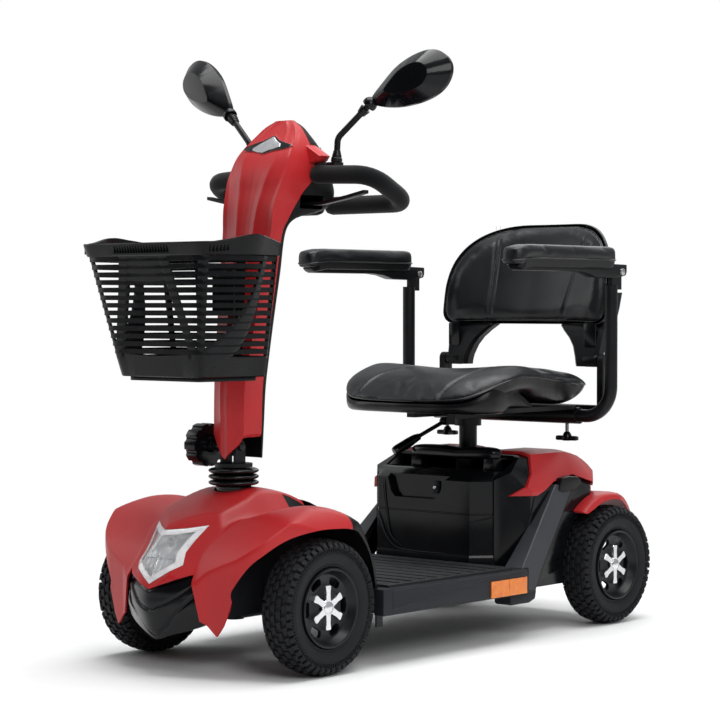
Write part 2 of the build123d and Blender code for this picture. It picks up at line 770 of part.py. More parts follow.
# ---------------------------------------------------------------- basket
def basket_level(z, margin):
    """Basket from above at one height, wider at the rim."""
    share = (z - basket_bottom_z) / (basket_top_z - basket_bottom_z)
    front_half, mid_half, rear_half = 95 + 50 * share, 104 + 68 * share, 111 + 31 * share
    front = -592 - 40 * share
    mid = -528 - 9 * share
    half = [(front_half, front), (mid_half, mid), (rear_half, basket_rear_y)]
    return Plane.XY.offset(z) * inset(outline(both_sides(half)), margin)


def basket():
    """Tapered basket with a thick rim, and a hook that drops over the receiver."""
    floor_z = basket_bottom_z + basket_wall
    shell = loft([basket_level(basket_bottom_z, 0), basket_level(basket_top_z, 0)], ruled=True)
    shell -= loft([basket_level(floor_z, basket_wall), basket_level(basket_top_z + 10, basket_wall)],
                  ruled=True)
    shell += extrude(basket_level(basket_bottom_z, 12), amount=-7)
    hook_top, hook_low = receiver_z + 44, receiver_z - 10
    back = basket_rear_y
    shell += block(-30, 30, back - 1, back + 16, hook_top - 5, hook_top)
    for x in (-30, 14):
        shell += block(x, x + 16, back + 12, back + 16, hook_low, hook_top)
    return shell


# ---------------------------------------------------------------- seat
def seat_post():
    """Telescopic post with a spindle for the swivel and a bracket for its lever."""
    low = rail_bottom + 12
    post = rod((0, post_y, low), (0, post_y, seat_plate_z - 2), post_radius)
    post -= rod((0, post_y, low - 1), (0, post_y, 370), post_radius - post_wall)
    post += rod((0, post_y, seat_plate_z - 16), (0, post_y, seat_plate_z - 2), 26)
    post += rod((0, post_y, seat_plate_z - 2), (0, post_y, seat_plate_z + 13), 10)
    post += block(-48, -10, post_y - 8, post_y + 8, seat_plate_z - 16, seat_plate_z - 4)
    pin_z = lever_root_z
    return post + rod((-66, post_y, pin_z), (-40, post_y, pin_z), 4)


def swivel_lever():
    """Hand lever under the seat that frees the swivel."""
    root = (-59, post_y, lever_root_z)
    grip_start = (-86, 175, 359)
    tip = (-101, 133, 336)
    lever = rod(root, grip_start, 4)
    lever += rod(grip_start, tip, 9.5)
    lever += rod((-66, post_y, lever_root_z), (-51, post_y, lever_root_z), 7.5)
    return lever - rod((-70, post_y, lever_root_z), (-40, post_y, lever_root_z), 4 + running_gap)


def seat_base():
    """Swivel plate, armrest receiver tube, rails and the backrest's hinge uprights."""
    low, high = seat_plate_z, seat_plate_z + 16
    base = rod((0, post_y, low), (0, post_y, high), 34)
    base += block(-90, 90, 120, arm_y + 30, high - 5, high)
    for side in SIDES.values():
        x0, x1 = sorted((side * 40, side * 60))
        base += block(x0, x1, 120, arm_y, low + 2, high)
    base += rod((-180, arm_y, arm_z), (180, arm_y, arm_z), arm_tube_radius + 3.5)
    for side in SIDES.values():
        x0, x1 = sorted((side * 191, side * 205))
        up = block(x0, x1, seat_back + 4, back_hinge_y + 12, 424, back_hinge_z)
        up += rod((x0, back_hinge_y, back_hinge_z), (x1, back_hinge_y, back_hinge_z), 12)
        inner, outer = sorted((side * 60, side * 205))
        up += block(inner, outer, seat_back + 4, back_hinge_y + 12, high - 5, 424.5)
        inner, outer = sorted((side * 60, side * 90))
        up += block(inner, outer, arm_y, back_hinge_y + 12, high - 5, high)
        pin0, pin1 = sorted((side * 152, side * 205))
        up += rod((pin0, back_hinge_y, back_hinge_z), (pin1, back_hinge_y, back_hinge_z), 6)
        base += up
    base -= rod((-200, arm_y, arm_z), (200, arm_y, arm_z), arm_tube_radius + running_gap)
    base -= rod((0, post_y, low - 1), (0, post_y, high - 2), 10 + running_gap)
    for side in SIDES.values():
        base -= rod((side * knob_x, arm_y, arm_z - 30), (side * knob_x, arm_y, arm_z), knob_stem + 0.05)
    return base


def armrest_knob(side):
    """Tee-shaped clamp screw under the receiver tube."""
    x = side * knob_x
    low = 357.0
    knob = rod((x, arm_y, low), (x, arm_y, arm_z - arm_tube_radius - 0.5), knob_stem)
    knob += rod((x, arm_y, low), (x, arm_y, low + 9), 9)
    return knob + block(x - 18, x + 18, arm_y - 6, arm_y + 6, low, low + 9)


def armrest_frame(side):
    """Bent tube from the receiver up to the armrest pivot."""
    points = [(66, arm_y, arm_z), (arm_x, arm_y, arm_z), (arm_x, arm_y, arm_pivot_z - 26)]
    tube = bent_bar(points, [58.0], arm_tube_radius)
    lug_low = arm_pivot_z - 34
    tube += block(arm_x - 4, arm_x + 4, arm_y - 2, arm_pivot_y + 9, lug_low, arm_pivot_z)
    tube += rod((arm_x - 4, arm_pivot_y, arm_pivot_z), (arm_x + 4, arm_pivot_y, arm_pivot_z), 9)
    tube += rod((arm_x - 12, arm_pivot_y, arm_pivot_z), (arm_x + 12, arm_pivot_y, arm_pivot_z), 5)
    return tube if side > 0 else mirrored(tube)


def armrest_pad(side):
    """Armrest on its bracket: cheeks round the pivot, a beam and the pad on top."""
    x = arm_x
    pad_front, pad_back, pad_low, pad_top = 34.0, 342.0, 697.0, 731.0
    pad_half = 25.0
    plan = outline([(x - pad_half, pad_back), (x + pad_half, pad_back), (x + pad_half, pad_front + 30),
                    (x + pad_half - 12, pad_front), (x - pad_half + 12, pad_front),
                    (x - pad_half, pad_front + 30)])
    pad = plan_prism(plan, pad_low, pad_top)
    arm = side_prism(outline([(48, 683), (300, 683), (346, 700), (346, pad_low + 1), (48, pad_low + 1)]),
                     x - 11, x + 11)
    cheek = outline([(290, 685), (345, 672), (arm_pivot_y, 672), (arm_pivot_y + 14, 678),
                     (arm_pivot_y + 16, 697), (290, 699)])
    for x0 in (x - 12, x + 5):
        arm += side_prism(cheek, x0, x0 + 7)
    arm += block(x - 12, x + 12, 300, 342, 690, 699)
    arm -= rod((x - 20, arm_pivot_y, arm_pivot_z), (x + 20, arm_pivot_y, arm_pivot_z), 5 + running_gap)
    arm = pad + arm
    return arm if side > 0 else mirrored(arm)


def seat_plan(margin):
    """Seat from above: rounded corners, wide rear."""
    half = seat_half_width - margin
    front, back = seat_front + margin, seat_back - margin
    front_r, rear_r = 130.0 - margin, 60.0 - margin
    face = Pos(0, (front + back) / 2) * Rectangle(2 * half, back - front)
    corners = face.vertices().sort_by(Axis.Y)
    face = fillet(corners[:2], front_r)
    corners = [v for v in face.vertices().sort_by(Axis.Y) if v.Y > back - 1]
    return fillet(corners, rear_r)


def seat_cushion():
    side_view = outline([(seat_front, 432), (seat_front + 4, 452), (62, 486), (110, 504), (150, 507),
                         (200, 500), (270, 484), (344, 475), (seat_back, 468), (seat_back, 436),
                         (300, 437), (120, 434), (60, 430), (seat_front + 8, 428)])
    section = outline(both_sides([(150, 520), (176, 507), (196, 492), (seat_half_width, 470),
                                  (seat_half_width - 4, 448), (176, 430), (150, 400)]))
    pad = side_prism(side_view, -seat_half_width, seat_half_width)
    return pad & plan_prism(seat_plan(0), 400, 520) & front_prism(section, 0, 420)


def seat_pan():
    """Plastic pan under the cushion."""
    low = seat_plate_z + 17
    return plan_prism(seat_plan(24), low, 427.5) - block(-182, 182, 338, 373, 0, 423)


def back_plan(z, front, thick):
    """Backrest from above at one height: an arc that wraps forward at the sides."""
    share = (z - back_bottom_z) / (back_top_z - back_bottom_z)
    centre = 433 + 88 * share + front
    edge = 406 + 30 * share + front
    half = back_half_width
    face = make_face([
        ThreePointArc((-half, edge), (0, centre), (half, edge)),
        Line((half, edge), (half, edge + thick)),
        ThreePointArc((half, edge + thick), (0, centre + thick), (-half, edge + thick)),
        Line((-half, edge + thick), (-half, edge)),
    ])
    return Plane.XY.offset(z) * face


def back_outline(margin):
    """Backrest from the front: big upper corners."""
    half, low, high = back_half_width, back_bottom_z, back_top_z
    face = Pos(0, (low + high) / 2) * Rectangle(2 * half, high - low)
    corners = face.vertices().sort_by(Axis.Y)
    face = fillet(corners[2:], 145)
    corners = [v for v in face.vertices().sort_by(Axis.Y) if v.Y < low + 1]
    return inset(fillet(corners, 30), margin)


def back_slab(front, thick, margin):
    slab = loft([back_plan(back_bottom_z - 20, front, thick), back_plan(back_top_z + 20, front, thick)],
                ruled=True)
    return slab & front_prism(back_outline(margin), 300, 650)


def backrest_cushion():
    return back_slab(-26, 28, 0)


def backrest_shell():
    """Moulded back panel with two arms down to the hinges."""
    panel = back_slab(2.5, 5, 6)
    for side in SIDES.values():
        points = [(side * 148, back_hinge_z), (side * 188, back_hinge_z), (side * 196, 640),
                  (side * 90, 640), (side * 84, 590), (side * 120, 570), (side * 140, 540)]
        arm = front_prism(outline(points), 392, 560)
        arm &= side_prism(outline([(396, back_hinge_z), (420, back_hinge_z), (430, 560), (443, 590),
                                   (470, 640), (455, 640), (433.5, 590), (412, 575)]), -220, 220)
        x0, x1 = sorted((side * 156, side * 188))
        arm += rod((x0, back_hinge_y, back_hinge_z), (x1, back_hinge_y, back_hinge_z), 12)
        panel += arm
    for side in SIDES.values():
        panel -= rod((side * 140, back_hinge_y, back_hinge_z), (side * 190, back_hinge_y, back_hinge_z),
                     6 + running_gap)
    return panel - backrest_cushion()


# ---------------------------------------------------------------- battery and rear body
def battery_plan(margin):
    half, front = box_half_width - margin, box_front + margin
    cut = box_chamfer
    points = [(half - cut + 4, front), (half, front + cut), (half, box_back - margin)]
    return outline(both_sides(points))


def battery_case():
    """Battery box with a sloping brow, chamfered corners and a cavity for the cells."""
    low = floor_top
    case = plan_prism(battery_plan(0), low, box_top)
    brow = outline([(box_front - 1, 289), (box_front + 33, box_top), (box_front + 33, box_top + 9),
                    (box_front - 1, box_top + 9)])
    case -= side_prism(brow, -200, 200)
    case -= plan_prism(battery_plan(shell_wall), low + shell_wall, 283)
    return case


def battery_cells():
    """Two sealed battery blocks."""
    gap, low, high = 3.0, floor_top + shell_wall, 270.0
    y0, y1 = box_front + 38, box_back - shell_wall - 1
    left = block(gap, box_half_width - 8, y0, y1, low, high)
    return left + mirrored(left)


def battery_handle():
    """Raised lifting handle on top of the battery box."""
    x0, x1, y0, y1 = -80.0, 130.0, 148.0, 186.0
    low, high = box_top, 351.0
    grip = Pos((x0 + x1) / 2, (y0 + y1) / 2, (high + 326) / 2) * Box(x1 - x0, y1 - y0, high - 326)
    grip = fillet(grip.edges().filter_by(Axis.Z), 16)
    grip = fillet(grip.faces().sort_by(Axis.Z)[-1].edges(), 9)
    for x in (x0 + 16, x1 - 16):
        grip += block(x - 14, x + 14, y0 + 4, y1 - 4, low, 327)
    return grip


def rear_side(margin, floor_z):
    """Rear body in side view."""
    return inset(outline([(126, floor_z), (126, 289), (206, rear_top), (400, rear_top), (462, 326),
                          (rear_end, 270), (rear_end, floor_z)]), margin)


def rear_section(margin, floor_z):
    """Rear body in front view."""
    half = rear_half_width
    return inset(outline(both_sides([(110, rear_top + 4), (150, rear_top - 4), (half, 268),
                                     (half, floor_z)])), margin)


def rear_plan(margin):
    """Rear body from above, tapering behind the wheels."""
    return inset(outline(both_sides([(60, box_front), (box_half_width, 129), (rear_half_width, 184),
                                     (rear_half_width, 376), (150, 430), (100, 484), (40, rear_end)])),
                 margin)


def rear_body(margin, floor_z):
    """Solid inside the rear body's skin, drawn in by a margin."""
    body = side_prism(rear_side(margin, floor_z), -250, 250)
    body &= front_prism(rear_section(margin, floor_z), 80, 600)
    return body & plan_prism(rear_plan(margin), 10, 400)


def rear_wheel_well(side):
    radius = tyre_radius + well_gap
    inner = wheel_x - tyre_width / 2 - 36
    return rod((side * inner, rear_y, axle_z), (side * 300, rear_y, axle_z), radius)


def rear_skin():
    """Hollow rear body, open below and in front."""
    skin = rear_body(0, 88) - rear_body(shell_wall, 40)
    skin -= plan_prism(battery_plan(-panel_gap), 0, 400)
    skin -= block(-box_half_width - 1, box_half_width + 1, 90, box_back + 1, 0, 400)
    skin -= rod((0, post_y, 300), (0, post_y, 400), post_radius + 2)
    skin -= block(-300, 300, 100, floor_back + panel_gap, 0, floor_top + panel_gap)
    return skin


def slanted_band(side):
    """Broad slanted trim band in front of the rear wheel."""
    band = side_prism(outline([(122, 88), (150, 88), (172, 128), (316, 275), (268, 275), (128, 132),
                               (122, 132)]), 150, 230)
    lean = front_prism(outline([(150, 60), (227, 60), (227, 128), (194, 275), (194, 300), (150, 300)]),
                       80, 400)
    band = (band & lean) - rear_wheel_well(1)
    inside = front_prism(outline([(100, 0), (186, 0), (186, 400), (100, 400)]), 80, 400)
    band -= inside
    band -= block(100, 300, 100, floor_back + panel_gap, 0, floor_top + panel_gap)
    return band if side > 0 else mirrored(band)


def rear_panel(side):
    """Red upper side panel, a cap over the black body."""
    zone = side_prism(outline([(150, 262), (206, 300), (236, 342), (420, 342), (480, 326), (500, 290),
                               (430, 268), (330, 294), (262, 284), (200, 262)]), 60, 230)
    panel = zone & (rear_body(-6, 200) - rear_body(-panel_gap, 40))
    panel -= slanted_band(1)
    panel -= plan_prism(battery_plan(-panel_gap), 0, 400)
    return panel if side > 0 else mirrored(panel)


def arch_slice(radius):
    """Disc sector over the rear wheel in side view, centred a little ahead of the axle."""
    y, z = rear_y - 6, axle_z + 4
    return Plane.YZ.offset(150) * (Pos(y, z) * Circle(radius))


def rear_fender(side):
    """Red arch over the rear wheel, narrowing behind."""
    arch = extrude(arch_slice(tyre_radius + 21), amount=80)
    arch -= extrude(arch_slice(tyre_radius + 16), amount=80)
    arch &= side_prism(outline([(rear_y - 6, axle_z), (rear_y - 190, axle_z + 150), (rear_y - 40, axle_z + 220),
                                (rear_y + 120, axle_z + 200), (rear_y + 200, axle_z + 60)]), 100, 300)
    arch &= plan_prism(outline([(160, 280), (218, 280), (218, 440), (186, 540), (160, 540)]), 100, 400)
    arch -= slanted_band(1)
    arch -= rear_body(-panel_gap, 40)
    arch -= rear_panel(1)
    return arch if side > 0 else mirrored(arch)


def rear_shroud():
    skin = rear_skin()
    for side in SIDES.values():
        skin -= rear_wheel_well(side)
        skin += slanted_band(side)
    return skin


def rear_red():
    """Red rear pieces: two upper panels and two wheel arches."""
    pieces = []
    for side in SIDES.values():
        pieces += rear_panel(side).solids() + rear_fender(side).solids()
    return Compound(children=pieces)


def marker_lamps():
    """Amber side reflectors, and a small lamp on each slanting rear face."""
    pieces = []
    for side in SIDES.values():
        x0, x1 = sorted((side * (floor_half_width + 0.2), side * (floor_half_width + 2.4)))
        pieces.append(block(x0, x1, 6, 58.5, 90, 120))
        pieces.append(block(x0, x1, 59.5, 112, 90, 120))
        lamp = [(109.7, 473.9), (138.2, 443.1), (141.7, 446.3), (113.2, 477.1)]
        face = outline([(side * x, y) for x, y in lamp])
        pieces += plan_prism(face, 238, 262).solids()
    return Compound(children=pieces)


# ---------------------------------------------------------------- drive
def transaxle():
    """Gear housing on the rear axle with a tube each side for the half shafts."""
    body = block(-50, 50, rear_y - 46, rear_y + 46, 72, 162)
    body = fillet(body.edges().filter_by(Axis.X), 14)
    body += rod((-148, rear_y, axle_z), (148, rear_y, axle_z), 20)
    for side in SIDES.values():
        x0, x1 = sorted((side * 48, side * 92))
        body += block(x0, x1, rear_y - 24, rear_y + 24, 92, 138)
    return body - rod((-160, rear_y, axle_z), (160, rear_y, axle_z), shaft_radius + running_gap)


def drive_motor():
    """Motor with its brake cap, in front of the gear housing."""
    can = rod((-62, rear_y + 2, 206), (58, rear_y + 2, 206), 40)
    cap = rod((-92, rear_y + 2, 206), (-62, rear_y + 2, 206), 32)
    return can + cap


def controller():
    """Finned motor controller on the cross member."""
    low = rail_top + 1
    case = block(-50, 50, 318, 366, low, low + 34)
    for k in range(6):
        x = -42 + k * 16
        case += block(x - 2, x + 2, 318, 366, low + 34, low + 42)
    return case


# ---------------------------------------------------------------- assembly
def all_nodes():
    nodes = {
        "chassis_frame": chassis_frame(),
        "floor_pan": floor_pan(),
        "deck_mat": deck_mat(),
        "rear_shroud": rear_shroud(),
        "rear_red_panels": rear_red(),
        "marker_lamps": marker_lamps(),
        "transaxle": transaxle(),
        "drive_motor": drive_motor(),
        "controller": controller(),
        "battery_case": battery_case(),
        "battery_handle": battery_handle(),
        "battery_cells": battery_cells(),
        "steering_column": steering_column(),
        "bellows": bellows(),
        "track_rod": track_rod(),
        "tiller_mast": tiller_mast(),
        "lock_knob": lock_knob(),
        "handlebar": handlebar(),
        "handlebar_foam": handlebar_foam(),
        "console_panel": console_panel(),
        "speed_dial": speed_dial(),
        "ignition_key": ignition_key(),
        "horn_button": horn_button(),
        "speed_lever": speed_lever(),
        "basket": basket(),
        "seat_post": seat_post(),
        "swivel_lever": swivel_lever(),
        "seat_base": seat_base(),
        "seat_pan": seat_pan(),
        "seat_cushion": seat_cushion(),
        "backrest_shell": backrest_shell(),
        "backrest_cushion": backrest_cushion(),
    }
    nodes.update(front_parts())
    nodes.update(tiller_covers())
    for name, side in SIDES.items():
        nodes[f"steering_knuckle_{name}"] = knuckle(side)
        nodes[f"front_tyre_{name}"] = place_wheel(tyre(), side, front_y)
        nodes[f"front_rim_{name}"] = place_wheel(rim(axle_radius + running_gap), side, front_y)
        nodes[f"rear_tyre_{name}"] = place_wheel(tyre(), side, rear_y)
        nodes[f"rear_rim_{name}"] = place_wheel(rear_rim(), side, rear_y)
        nodes[f"mirror_arm_{name}"] = mirror_arm(side)
        nodes[f"mirror_head_{name}"] = mirror_head(side)
        nodes[f"mirror_glass_{name}"] = mirror_glass(side)
        nodes[f"armrest_frame_{name}"] = armrest_frame(side)
        nodes[f"armrest_pad_{name}"] = armrest_pad(side)
        nodes[f"armrest_knob_{name}"] = armrest_knob(side)
    return nodes


MIDDLE = ("chassis_frame", "floor_pan", "deck_mat")
REAR = ("rear_", "marker_", "transaxle", "drive_", "controller", "battery_", "seat_", "swivel_",
        "backrest_", "armrest_")


def spread(name, shape):
    """A node with its group moved to its place on the wheelbase."""
    if name in MIDDLE:
        return shape
    move = stretch if name.startswith(REAR) else -stretch
    return Pos(0, move, 0) * shape


def main():
    nodes = {name: spread(name, shape) for name, shape in all_nodes().items()}
    boxes = [shape.bounding_box() for shape in nodes.values()]
    back = max(box.max.Y for box in boxes)
    front = min(box.min.Y for box in boxes)
    shift = Pos(0, -(front + back) / 2, 0)
    os.makedirs("parts", exist_ok=True)
    for name, shape in nodes.items():
        export_step(shift * shape, f"parts/{name}.step")
    print(f"{len(nodes)} nodes, y moved by {-(front + back) / 2:.3f}")


main()
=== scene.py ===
"""Looks of the four-wheeled mobility scooter, built round its CAD frame.

Metres. X points to the rider's left, Y rearwards, Z up. Pieces are laid out in millimetres from
the middle of the wheelbase, and at() carries a millimetre place into the frame.
"""
import json
from contextlib import contextmanager
from math import cos, hypot, pi, radians, sin

import bmesh
import bpy
import numpy as np
from mathutils import Matrix, Vector
from mathutils.bvhtree import BVHTree

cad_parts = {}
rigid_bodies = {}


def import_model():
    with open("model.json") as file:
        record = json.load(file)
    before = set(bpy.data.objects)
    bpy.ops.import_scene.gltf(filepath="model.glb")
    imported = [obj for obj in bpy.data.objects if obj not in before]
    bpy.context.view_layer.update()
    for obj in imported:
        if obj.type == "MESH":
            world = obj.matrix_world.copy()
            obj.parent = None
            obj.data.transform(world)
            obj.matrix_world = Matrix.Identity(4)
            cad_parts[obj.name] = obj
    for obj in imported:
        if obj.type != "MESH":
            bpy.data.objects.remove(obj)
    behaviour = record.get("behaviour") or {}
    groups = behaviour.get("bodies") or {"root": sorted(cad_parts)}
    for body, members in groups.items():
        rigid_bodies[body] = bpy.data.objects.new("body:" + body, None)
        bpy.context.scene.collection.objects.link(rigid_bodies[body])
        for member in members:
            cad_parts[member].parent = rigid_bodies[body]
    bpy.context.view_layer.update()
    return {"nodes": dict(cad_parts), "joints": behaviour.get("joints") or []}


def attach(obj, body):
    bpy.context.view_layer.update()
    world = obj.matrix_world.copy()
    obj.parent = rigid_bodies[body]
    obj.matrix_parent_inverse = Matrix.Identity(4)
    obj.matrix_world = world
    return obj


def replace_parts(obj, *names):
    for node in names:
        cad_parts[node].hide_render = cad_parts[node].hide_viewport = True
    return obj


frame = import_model()

# ---- the frame's own sizes
steer_axis = Vector(next(j["pos_m"] for j in frame["joints"] if j["name"] == "steer"))
AXLE = 416.0
MIDDLE_Y = steer_axis.y + AXLE / 1000
SIDES = {"left": 1, "right": -1}
WELD = 2e-5  # metres within which two corners are one
AXES = {"X": (1, 0, 0), "Y": (0, 1, 0), "Z": (0, 0, 1)}


def at(x, y, z):
    """A place in millimetres from the middle of the wheelbase, in the frame."""
    return Vector((x / 1000, y / 1000 + MIDDLE_Y, z / 1000))


def local(x, y, z):
    """The same for an item made at the origin and carried to its place later."""
    return Vector((x, y, z)) / 1000


def clamp(value):
    """A value held between 0 and 1."""
    return min(1.0, max(0.0, value))


# ---- mesh helpers
@contextmanager
def editing(mesh):
    """Opens a mesh for editing and writes it back."""
    work = bmesh.new()
    work.from_mesh(mesh)
    yield work
    work.to_mesh(mesh)
    work.free()


def mesh_of(name, rows, faces, edges=(), place=at):
    """A mesh from rows of millimetre places."""
    mesh = bpy.data.meshes.new(name)
    mesh.from_pydata([place(*p) for row in rows for p in row], edges, faces)
    return mesh


def bare(name, mesh):
    """An object outside the model, for cutting or repeating."""
    made = bpy.data.objects.new(name, mesh)
    bpy.context.scene.collection.objects.link(made)
    return made


def drop(*things):
    for thing in things:
        bpy.data.objects.remove(thing, do_unlink=True)


def dress(name, mesh, body, finish, limit=35):
    """Cleans a mesh, shades it and puts it on its body with its finish."""
    with editing(mesh) as work:
        bmesh.ops.remove_doubles(work, verts=work.verts, dist=WELD)
        bmesh.ops.dissolve_degenerate(work, edges=work.edges, dist=1e-6)
    mesh.materials.clear()
    mesh.materials.append(finish.material)
    mesh.polygons.foreach_set("use_smooth", [True] * len(mesh.polygons))
    mesh.set_sharp_from_angle(angle=radians(limit))
    made = bare(name, mesh)
    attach(made, body)
    return made


def settle(name, thing, body, finish, limit=35):
    """Makes a piece of a helper object, which goes."""
    made = dress(name, thing.data.copy(), body, finish, limit)
    drop(thing)
    return made


def outward(mesh):
    """Turns every face of a closed mesh outwards."""
    with editing(mesh) as work:
        bmesh.ops.remove_doubles(work, verts=work.verts, dist=WELD)
        bmesh.ops.recalc_face_normals(work, faces=work.faces)
    return mesh


def plain_mesh(thing):
    """The mesh that an object's live modifiers make."""
    graph = bpy.context.evaluated_depsgraph_get()
    return bpy.data.meshes.new_from_object(thing.evaluated_get(graph))


def apply_all(thing):
    """Turns the live modifiers of an object into plain mesh."""
    old, mesh = thing.data, plain_mesh(thing)
    thing.modifiers.clear()
    thing.data = mesh
    if not old.users:
        bpy.data.meshes.remove(old)
    return thing


def modifier(thing, kind, **settings):
    made = thing.modifiers.new(kind.lower(), kind)
    for key, value in settings.items():
        setattr(made, key, value)


def loose(name, points, faces, place=at):
    """A closed helper object outside the model."""
    return bare(name, outward(mesh_of(name, [points], faces, place=place)))


def path_of(name, line, closed=False):
    """A helper line at the origin, for the trees to follow."""
    count = len(line)
    edges = [(k, (k + 1) % count) for k in range(count if closed else count - 1)]
    return bare(name, mesh_of(name, [line], (), edges, local))


def carried(mesh, place=(0, 0, 0)):
    """Takes a mesh made at the origin to its place."""
    mesh.transform(Matrix.Translation(at(*place)))
    return mesh


def twin(thing, side):
    """Keeps one side of a symmetric shell and mirrors it over the middle."""
    with editing(thing.data) as work:
        bmesh.ops.bisect_plane(work, geom=[*work.verts, *work.edges, *work.faces], dist=1e-6,
            plane_co=(0, 0, 0), plane_no=(side, 0, 0), clear_inner=True)
        bmesh.ops.mirror(work, geom=[*work.verts, *work.edges, *work.faces], axis="X",
            merge_dist=WELD)
        bmesh.ops.recalc_face_normals(work, faces=work.faces)


def smooth_run(points, steps, sharp=()):
    """Centripetal run through points, in steps between neighbours; sharp turns where told."""
    pts = [Vector(p) for p in points]
    count = len(pts)
    out = []
    for i in range(count - 1):
        a, b = pts[i], pts[i + 1]
        before = pts[i - 1] if i > 0 and i not in sharp else a * 2 - b
        after = pts[i + 2] if i + 2 < count and i + 1 not in sharp else b * 2 - a
        d0 = max((a - before).length, 1e-6) ** 0.5
        d1 = max((b - a).length, 1e-6) ** 0.5
        d2 = max((after - b).length, 1e-6) ** 0.5
        m1 = ((a - before) / d0 - (b - before) / (d0 + d1) + (b - a) / d1) * d1
        m2 = ((b - a) / d1 - (after - a) / (d1 + d2) + (after - b) / d2) * d1
        for k in range(steps):
            t = k / steps
            out.append(a * (2 * t**3 - 3 * t**2 + 1) + m1 * (t**3 - 2 * t**2 + t) + b
                * (3 * t**2 - 2 * t**3) + m2 * (t**3 - t**2))
    return out + [pts[-1].copy()]


def resampled(points, count, closed=False):
    """The same run with evenly spaced points."""
    pts = [Vector(p) for p in points]
    if closed:
        pts.append(pts[0])
    reach = [0.0]
    for a, b in zip(pts, pts[1:]):
        reach.append(reach[-1] + (b - a).length)
    wanted = [reach[-1] * i / (count if closed else count - 1) for i in range(count)]
    axes = list(zip(*pts))
    return [Vector([float(np.interp(w, reach, axis)) for axis in axes]) for w in wanted]


def smooth_line(points, steps):
    """A smooth run through flat (a, b) points."""
    return [(p.x, p.y) for p in smooth_run([(a, b, 0) for a, b in points], steps)]


def lookup(points, steps=8):
    """A smooth curve v(u) through (u, v) points, as a function."""
    us, vs = zip(*smooth_line(points, steps))
    if us[0] > us[-1]:
        us, vs = us[::-1], vs[::-1]
    return lambda u: float(np.interp(u, us, vs))


def rounded(points, radii, steps, closed=True):
    """A run of straight stretches with round corners, through flat or solid points."""
    count = len(points)
    out = [] if closed else [Vector(points[0])]
    for k in range(count) if closed else range(1, count - 1):
        a, b, c = (Vector(points[(k + d) % count]) for d in (-1, 0, 1))
        u, v = (a - b).normalized(), (c - b).normalized()
        reach = radii[k if closed else k - 1] / np.tan(u.angle(v) / 2)
        start, end = b + u * reach, b + v * reach
        for i in range(steps + 1):
            t = i / steps
            out.append(start * (1 - t) ** 2 + b * 2 * t * (1 - t) + end * t * t)
    return out if closed else out + [Vector(points[-1])]


def even_outline(corners, radii, steps, count):
    """An evenly spaced flat outline with round corners."""
    line = [p.to_3d() for p in rounded(corners, radii, steps)]
    return [p.to_2d() for p in resampled(line, count, True)]


def disc(a, b, radius, sides):
    """A round outline."""
    return [(a + radius * cos(2 * pi * k / sides), b + radius * sin(2 * pi * k / sides))
        for k in range(sides)]


def box(a0, a1, b0, b1):
    """A rectangular outline."""
    return [(a0, b0), (a1, b0), (a1, b1), (a0, b1)]


def both(half):
    """A left-hand outline closed with its mirror image."""
    return half + [(-x, v) for x, v in reversed(half) if abs(x) > 1e-6]


def mirrored(points):
    """The same points on the other side of the machine."""
    return [(-x, y, z) for x, y, z in points]


def grid_faces(rows, columns, wrap_rows=False, wrap_columns=False):
    """Quads of a grid of rows x columns points."""
    faces = []
    for i in range(rows if wrap_rows else rows - 1):
        a, b = i * columns, (i + 1) % rows * columns
        for j in range(columns if wrap_columns else columns - 1):
            k = (j + 1) % columns
            faces.append((a + j, a + k, b + k, b + j))
    return faces


def filled(rows, columns):
    """Faces of a closed skin: the grid and its two end caps."""
    return grid_faces(rows, columns, wrap_columns=True) + [tuple(range(columns))[::-1],
        tuple(range((rows - 1) * columns, rows * columns))]


def skin(name, rows, body, finish, limit=35):
    """A closed skin over rows of points, one ring after another."""
    mesh = mesh_of(name, rows, filled(len(rows), len(rows[0])))
    return dress(name, outward(mesh), body, finish, limit)


def hoop(name, rows, body, finish, limit=35):
    """A closed skin whose last ring meets the first."""
    mesh = mesh_of(name, rows, grid_faces(len(rows), len(rows[0]), True, True))
    return dress(name, outward(mesh), body, finish, limit)


def sweep(run, section, size, closed=False):
    """Rings of a section carried along a run without twisting."""
    rows, count = [], len(run)
    normal = None
    for i, place in enumerate(run):
        ahead = run[(i + 1) % count] if closed or i + 1 < count else place
        behind = run[i - 1] if closed or i > 0 else place
        along = (ahead - behind).normalized()
        if normal is None:
            normal = along.orthogonal()
        normal = (normal - along * normal.dot(along)).normalized()
        side = along.cross(normal)
        scale = size(i / max(count - 1, 1))
        rows.append([place + (side * u + normal * v) * scale for u, v in section])
    return rows


def domed(rows, amount=0.12):
    """Rounds the two ends of a swept bar a little."""
    def cap(row, nearest):
        middle = sum(row, Vector()) / len(row)
        out = (middle - sum(nearest, Vector()) / len(nearest)).normalized()
        radius = (row[0] - middle).length
        return [[middle + (p - middle) * (1 - amount) + out * radius * amount * 0.7 for p in row],
            [middle + (p - middle) * 0.55 + out * radius * amount * 1.1 for p in row]]
    return cap(rows[0], rows[1])[::-1] + rows + cap(rows[-1], rows[-2])


def tube(name, points, radius, body, finish, sides=20, steps=8, sharp=(), closed=False):
    """A round bar along a smooth run; radius is a number or a function of the share run."""
    run = smooth_run(points, steps, sharp) if steps else [Vector(p) for p in points]
    rows = sweep(run, disc(0, 0, 1, sides), radius if callable(radius) else lambda _: radius,
        closed)
    if closed:
        return hoop(name, rows, body, finish)
    return skin(name, domed(rows), body, finish)


